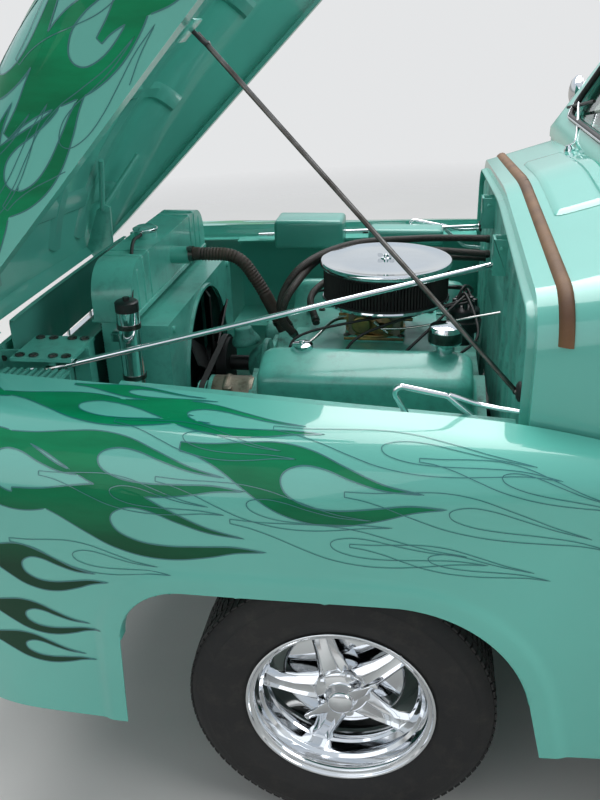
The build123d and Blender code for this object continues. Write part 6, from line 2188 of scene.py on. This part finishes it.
def build_sky():
    """A soft sky that reflections and glass see; the camera sees a plain backdrop."""
    world = bpy.data.worlds.new("Studio")
    bpy.context.scene.world = world
    world.use_nodes = True
    nodes, links = world.node_tree.nodes, world.node_tree.links
    back = nodes["Background"]
    place = nodes.new("ShaderNodeTexCoord")
    split = nodes.new("ShaderNodeSeparateXYZ")
    ramp = nodes.new("ShaderNodeValToRGB")
    half = nodes.new("ShaderNodeMapRange")
    links.new(place.outputs[0], split.inputs[0])
    links.new(split.outputs[2], half.inputs[0])
    half.inputs[1].default_value = -1.0
    links.new(half.outputs[0], ramp.inputs[0])
    while len(ramp.color_ramp.elements) < len(SKY):
        ramp.color_ramp.elements.new(1.0)
    for element, (spot, colour) in zip(ramp.color_ramp.elements, SKY):
        element.position, element.color = spot, colour
    path = nodes.new("ShaderNodeLightPath")
    plain = nodes.new("ShaderNodeMix")
    plain.data_type = "RGBA"
    links.new(path.outputs["Is Camera Ray"], plain.inputs[0])
    links.new(ramp.outputs[0], plain.inputs[6])
    plain.inputs[7].default_value = BACKDROP
    links.new(plain.outputs[2], back.inputs[0])
    seen = nodes.new("ShaderNodeMath")
    seen.operation = "MAXIMUM"
    links.new(path.outputs["Is Camera Ray"], seen.inputs[0])
    links.new(path.outputs["Is Glossy Ray"], seen.inputs[1])
    also = nodes.new("ShaderNodeMath")
    also.operation = "MAXIMUM"
    links.new(seen.outputs[0], also.inputs[0])
    links.new(path.outputs["Is Transmission Ray"], also.inputs[1])
    power = nodes.new("ShaderNodeMapRange")
    links.new(also.outputs[0], power.inputs[0])
    power.inputs[3].default_value, power.inputs[4].default_value = SOFT_SKY, 1.0
    links.new(power.outputs[0], back.inputs[1])


def build_camera():
    """The camera where the photograph was taken from."""
    camera = bpy.data.cameras.new("camera")
    camera.lens = PHOTO_FOCAL * SENSOR / PHOTO_HEIGHT
    yaw, pitch, roll = CAMERA_YAW, CAMERA_PITCH, CAMERA_ROLL
    ahead = Vector((math.sin(yaw) * math.cos(pitch), -math.cos(yaw) * math.cos(pitch), -math.sin(pitch)))
    right = ahead.cross(Vector((0, 0, 1))).normalized()
    up = right.cross(ahead)
    side = right * math.cos(roll) + up * math.sin(roll)
    top = up * math.cos(roll) - right * math.sin(roll)
    turn = Matrix((side, top, -ahead)).transposed()
    shown = put("camera", camera)
    shown.matrix_world = Matrix.Translation(CAMERA_PLACE) @ turn.to_4x4()
    bpy.context.scene.camera = shown


# The panel's settings
class TruckPaint(bpy.types.PropertyGroup):
    """Colours that a user would change."""

    body: bpy.props.FloatVectorProperty(
        name="Body", description="Colour of the body enamel", subtype="COLOR", size=4,
        default=srgb(104, 202, 186))
    flame: bpy.props.FloatVectorProperty(
        name="Flame", description="Candy colour of the flames", subtype="COLOR", size=4,
        default=srgb(0, 150, 98))
    stripe: bpy.props.FloatVectorProperty(
        name="Pinstripe", description="Colour of the line round each flame", subtype="COLOR", size=4,
        default=srgb(24, 124, 124))


class TruckSizes(bpy.types.PropertyGroup):
    """Sizes that a user would change."""

    pinstripe: bpy.props.FloatProperty(
        name="Pinstripe", description="Width of the line round each flame", default=0.0026, unit="LENGTH")


PIECES = []


def operator(work, label):
    """An operator that builds one group of pieces."""

    class Build(bpy.types.Operator):
        bl_idname = "truck." + work.__name__
        bl_label = label
        __doc__ = work.__doc__

        def execute(self, context):
            work(context.scene.truck_paint, context.scene.truck_sizes)
            return {"FINISHED"}

    Build.__name__ = "TRUCK_OT_" + work.__name__
    PIECES.append(Build)


def stage_and_finishes(paint, sizes):
    """Materials, trees and the stage."""
    make_finishes(paint)
    make_trees()
    build_stage(paint, sizes)


for work, label in (
    (stage_and_finishes, "Stage and finishes"), (dress_frame, "CAD finishes"),
    (build_fenders, "Front fenders"),
    (build_hood, "Hood"), (build_valve_covers, "Valve covers"), (build_air_cleaner, "Air cleaner"),
    (build_wheels, "Wheels"), (build_hoses, "Hoses and wires"), (build_engine_top, "Engine top"),
    (build_accessories, "Belt and accessories"), (build_radiator, "Radiator"), (build_bay, "Engine bay"),
    (build_cowl_trim, "Cowl trim"), (build_cab_trim, "Cab trim"), (build_cab_inside, "Cab inside"),
    (build_seat, "Seat"), (build_box, "Load box"), (build_rear, "Rear trim"),
    (build_face, "Grille and lamps"),
    (build_front_panels, "Front panels"), (build_under, "Underside"),
):
    operator(work, label)


class TRUCK_PT_panel(bpy.types.Panel):
    """The truck's settings and steps."""

    bl_label = "Truck"
    bl_space_type = "VIEW_3D"
    bl_region_type = "UI"
    bl_category = "Truck"

    def draw(self, context):
        for name in ("body", "flame", "stripe"):
            self.layout.prop(context.scene.truck_paint, name)
        self.layout.prop(context.scene.truck_sizes, "pinstripe")
        for piece in PIECES:
            self.layout.operator(piece.bl_idname)


CLASSES = [TruckPaint, TruckSizes, *PIECES, TRUCK_PT_panel]


def register():
    for one in CLASSES:
        bpy.utils.register_class(one)
    bpy.types.Scene.truck_paint = bpy.props.PointerProperty(type=TruckPaint)
    bpy.types.Scene.truck_sizes = bpy.props.PointerProperty(type=TruckSizes)


def unregister():
    del bpy.types.Scene.truck_sizes
    del bpy.types.Scene.truck_paint
    for one in reversed(CLASSES):
        bpy.utils.unregister_class(one)


def main():
    """Builds everything in order and writes the sizes."""
    register()
    for piece in PIECES:
        group, name = piece.bl_idname.split(".")
        getattr(getattr(bpy.ops, group), name)()


if __name__ == "__main__":
    main()
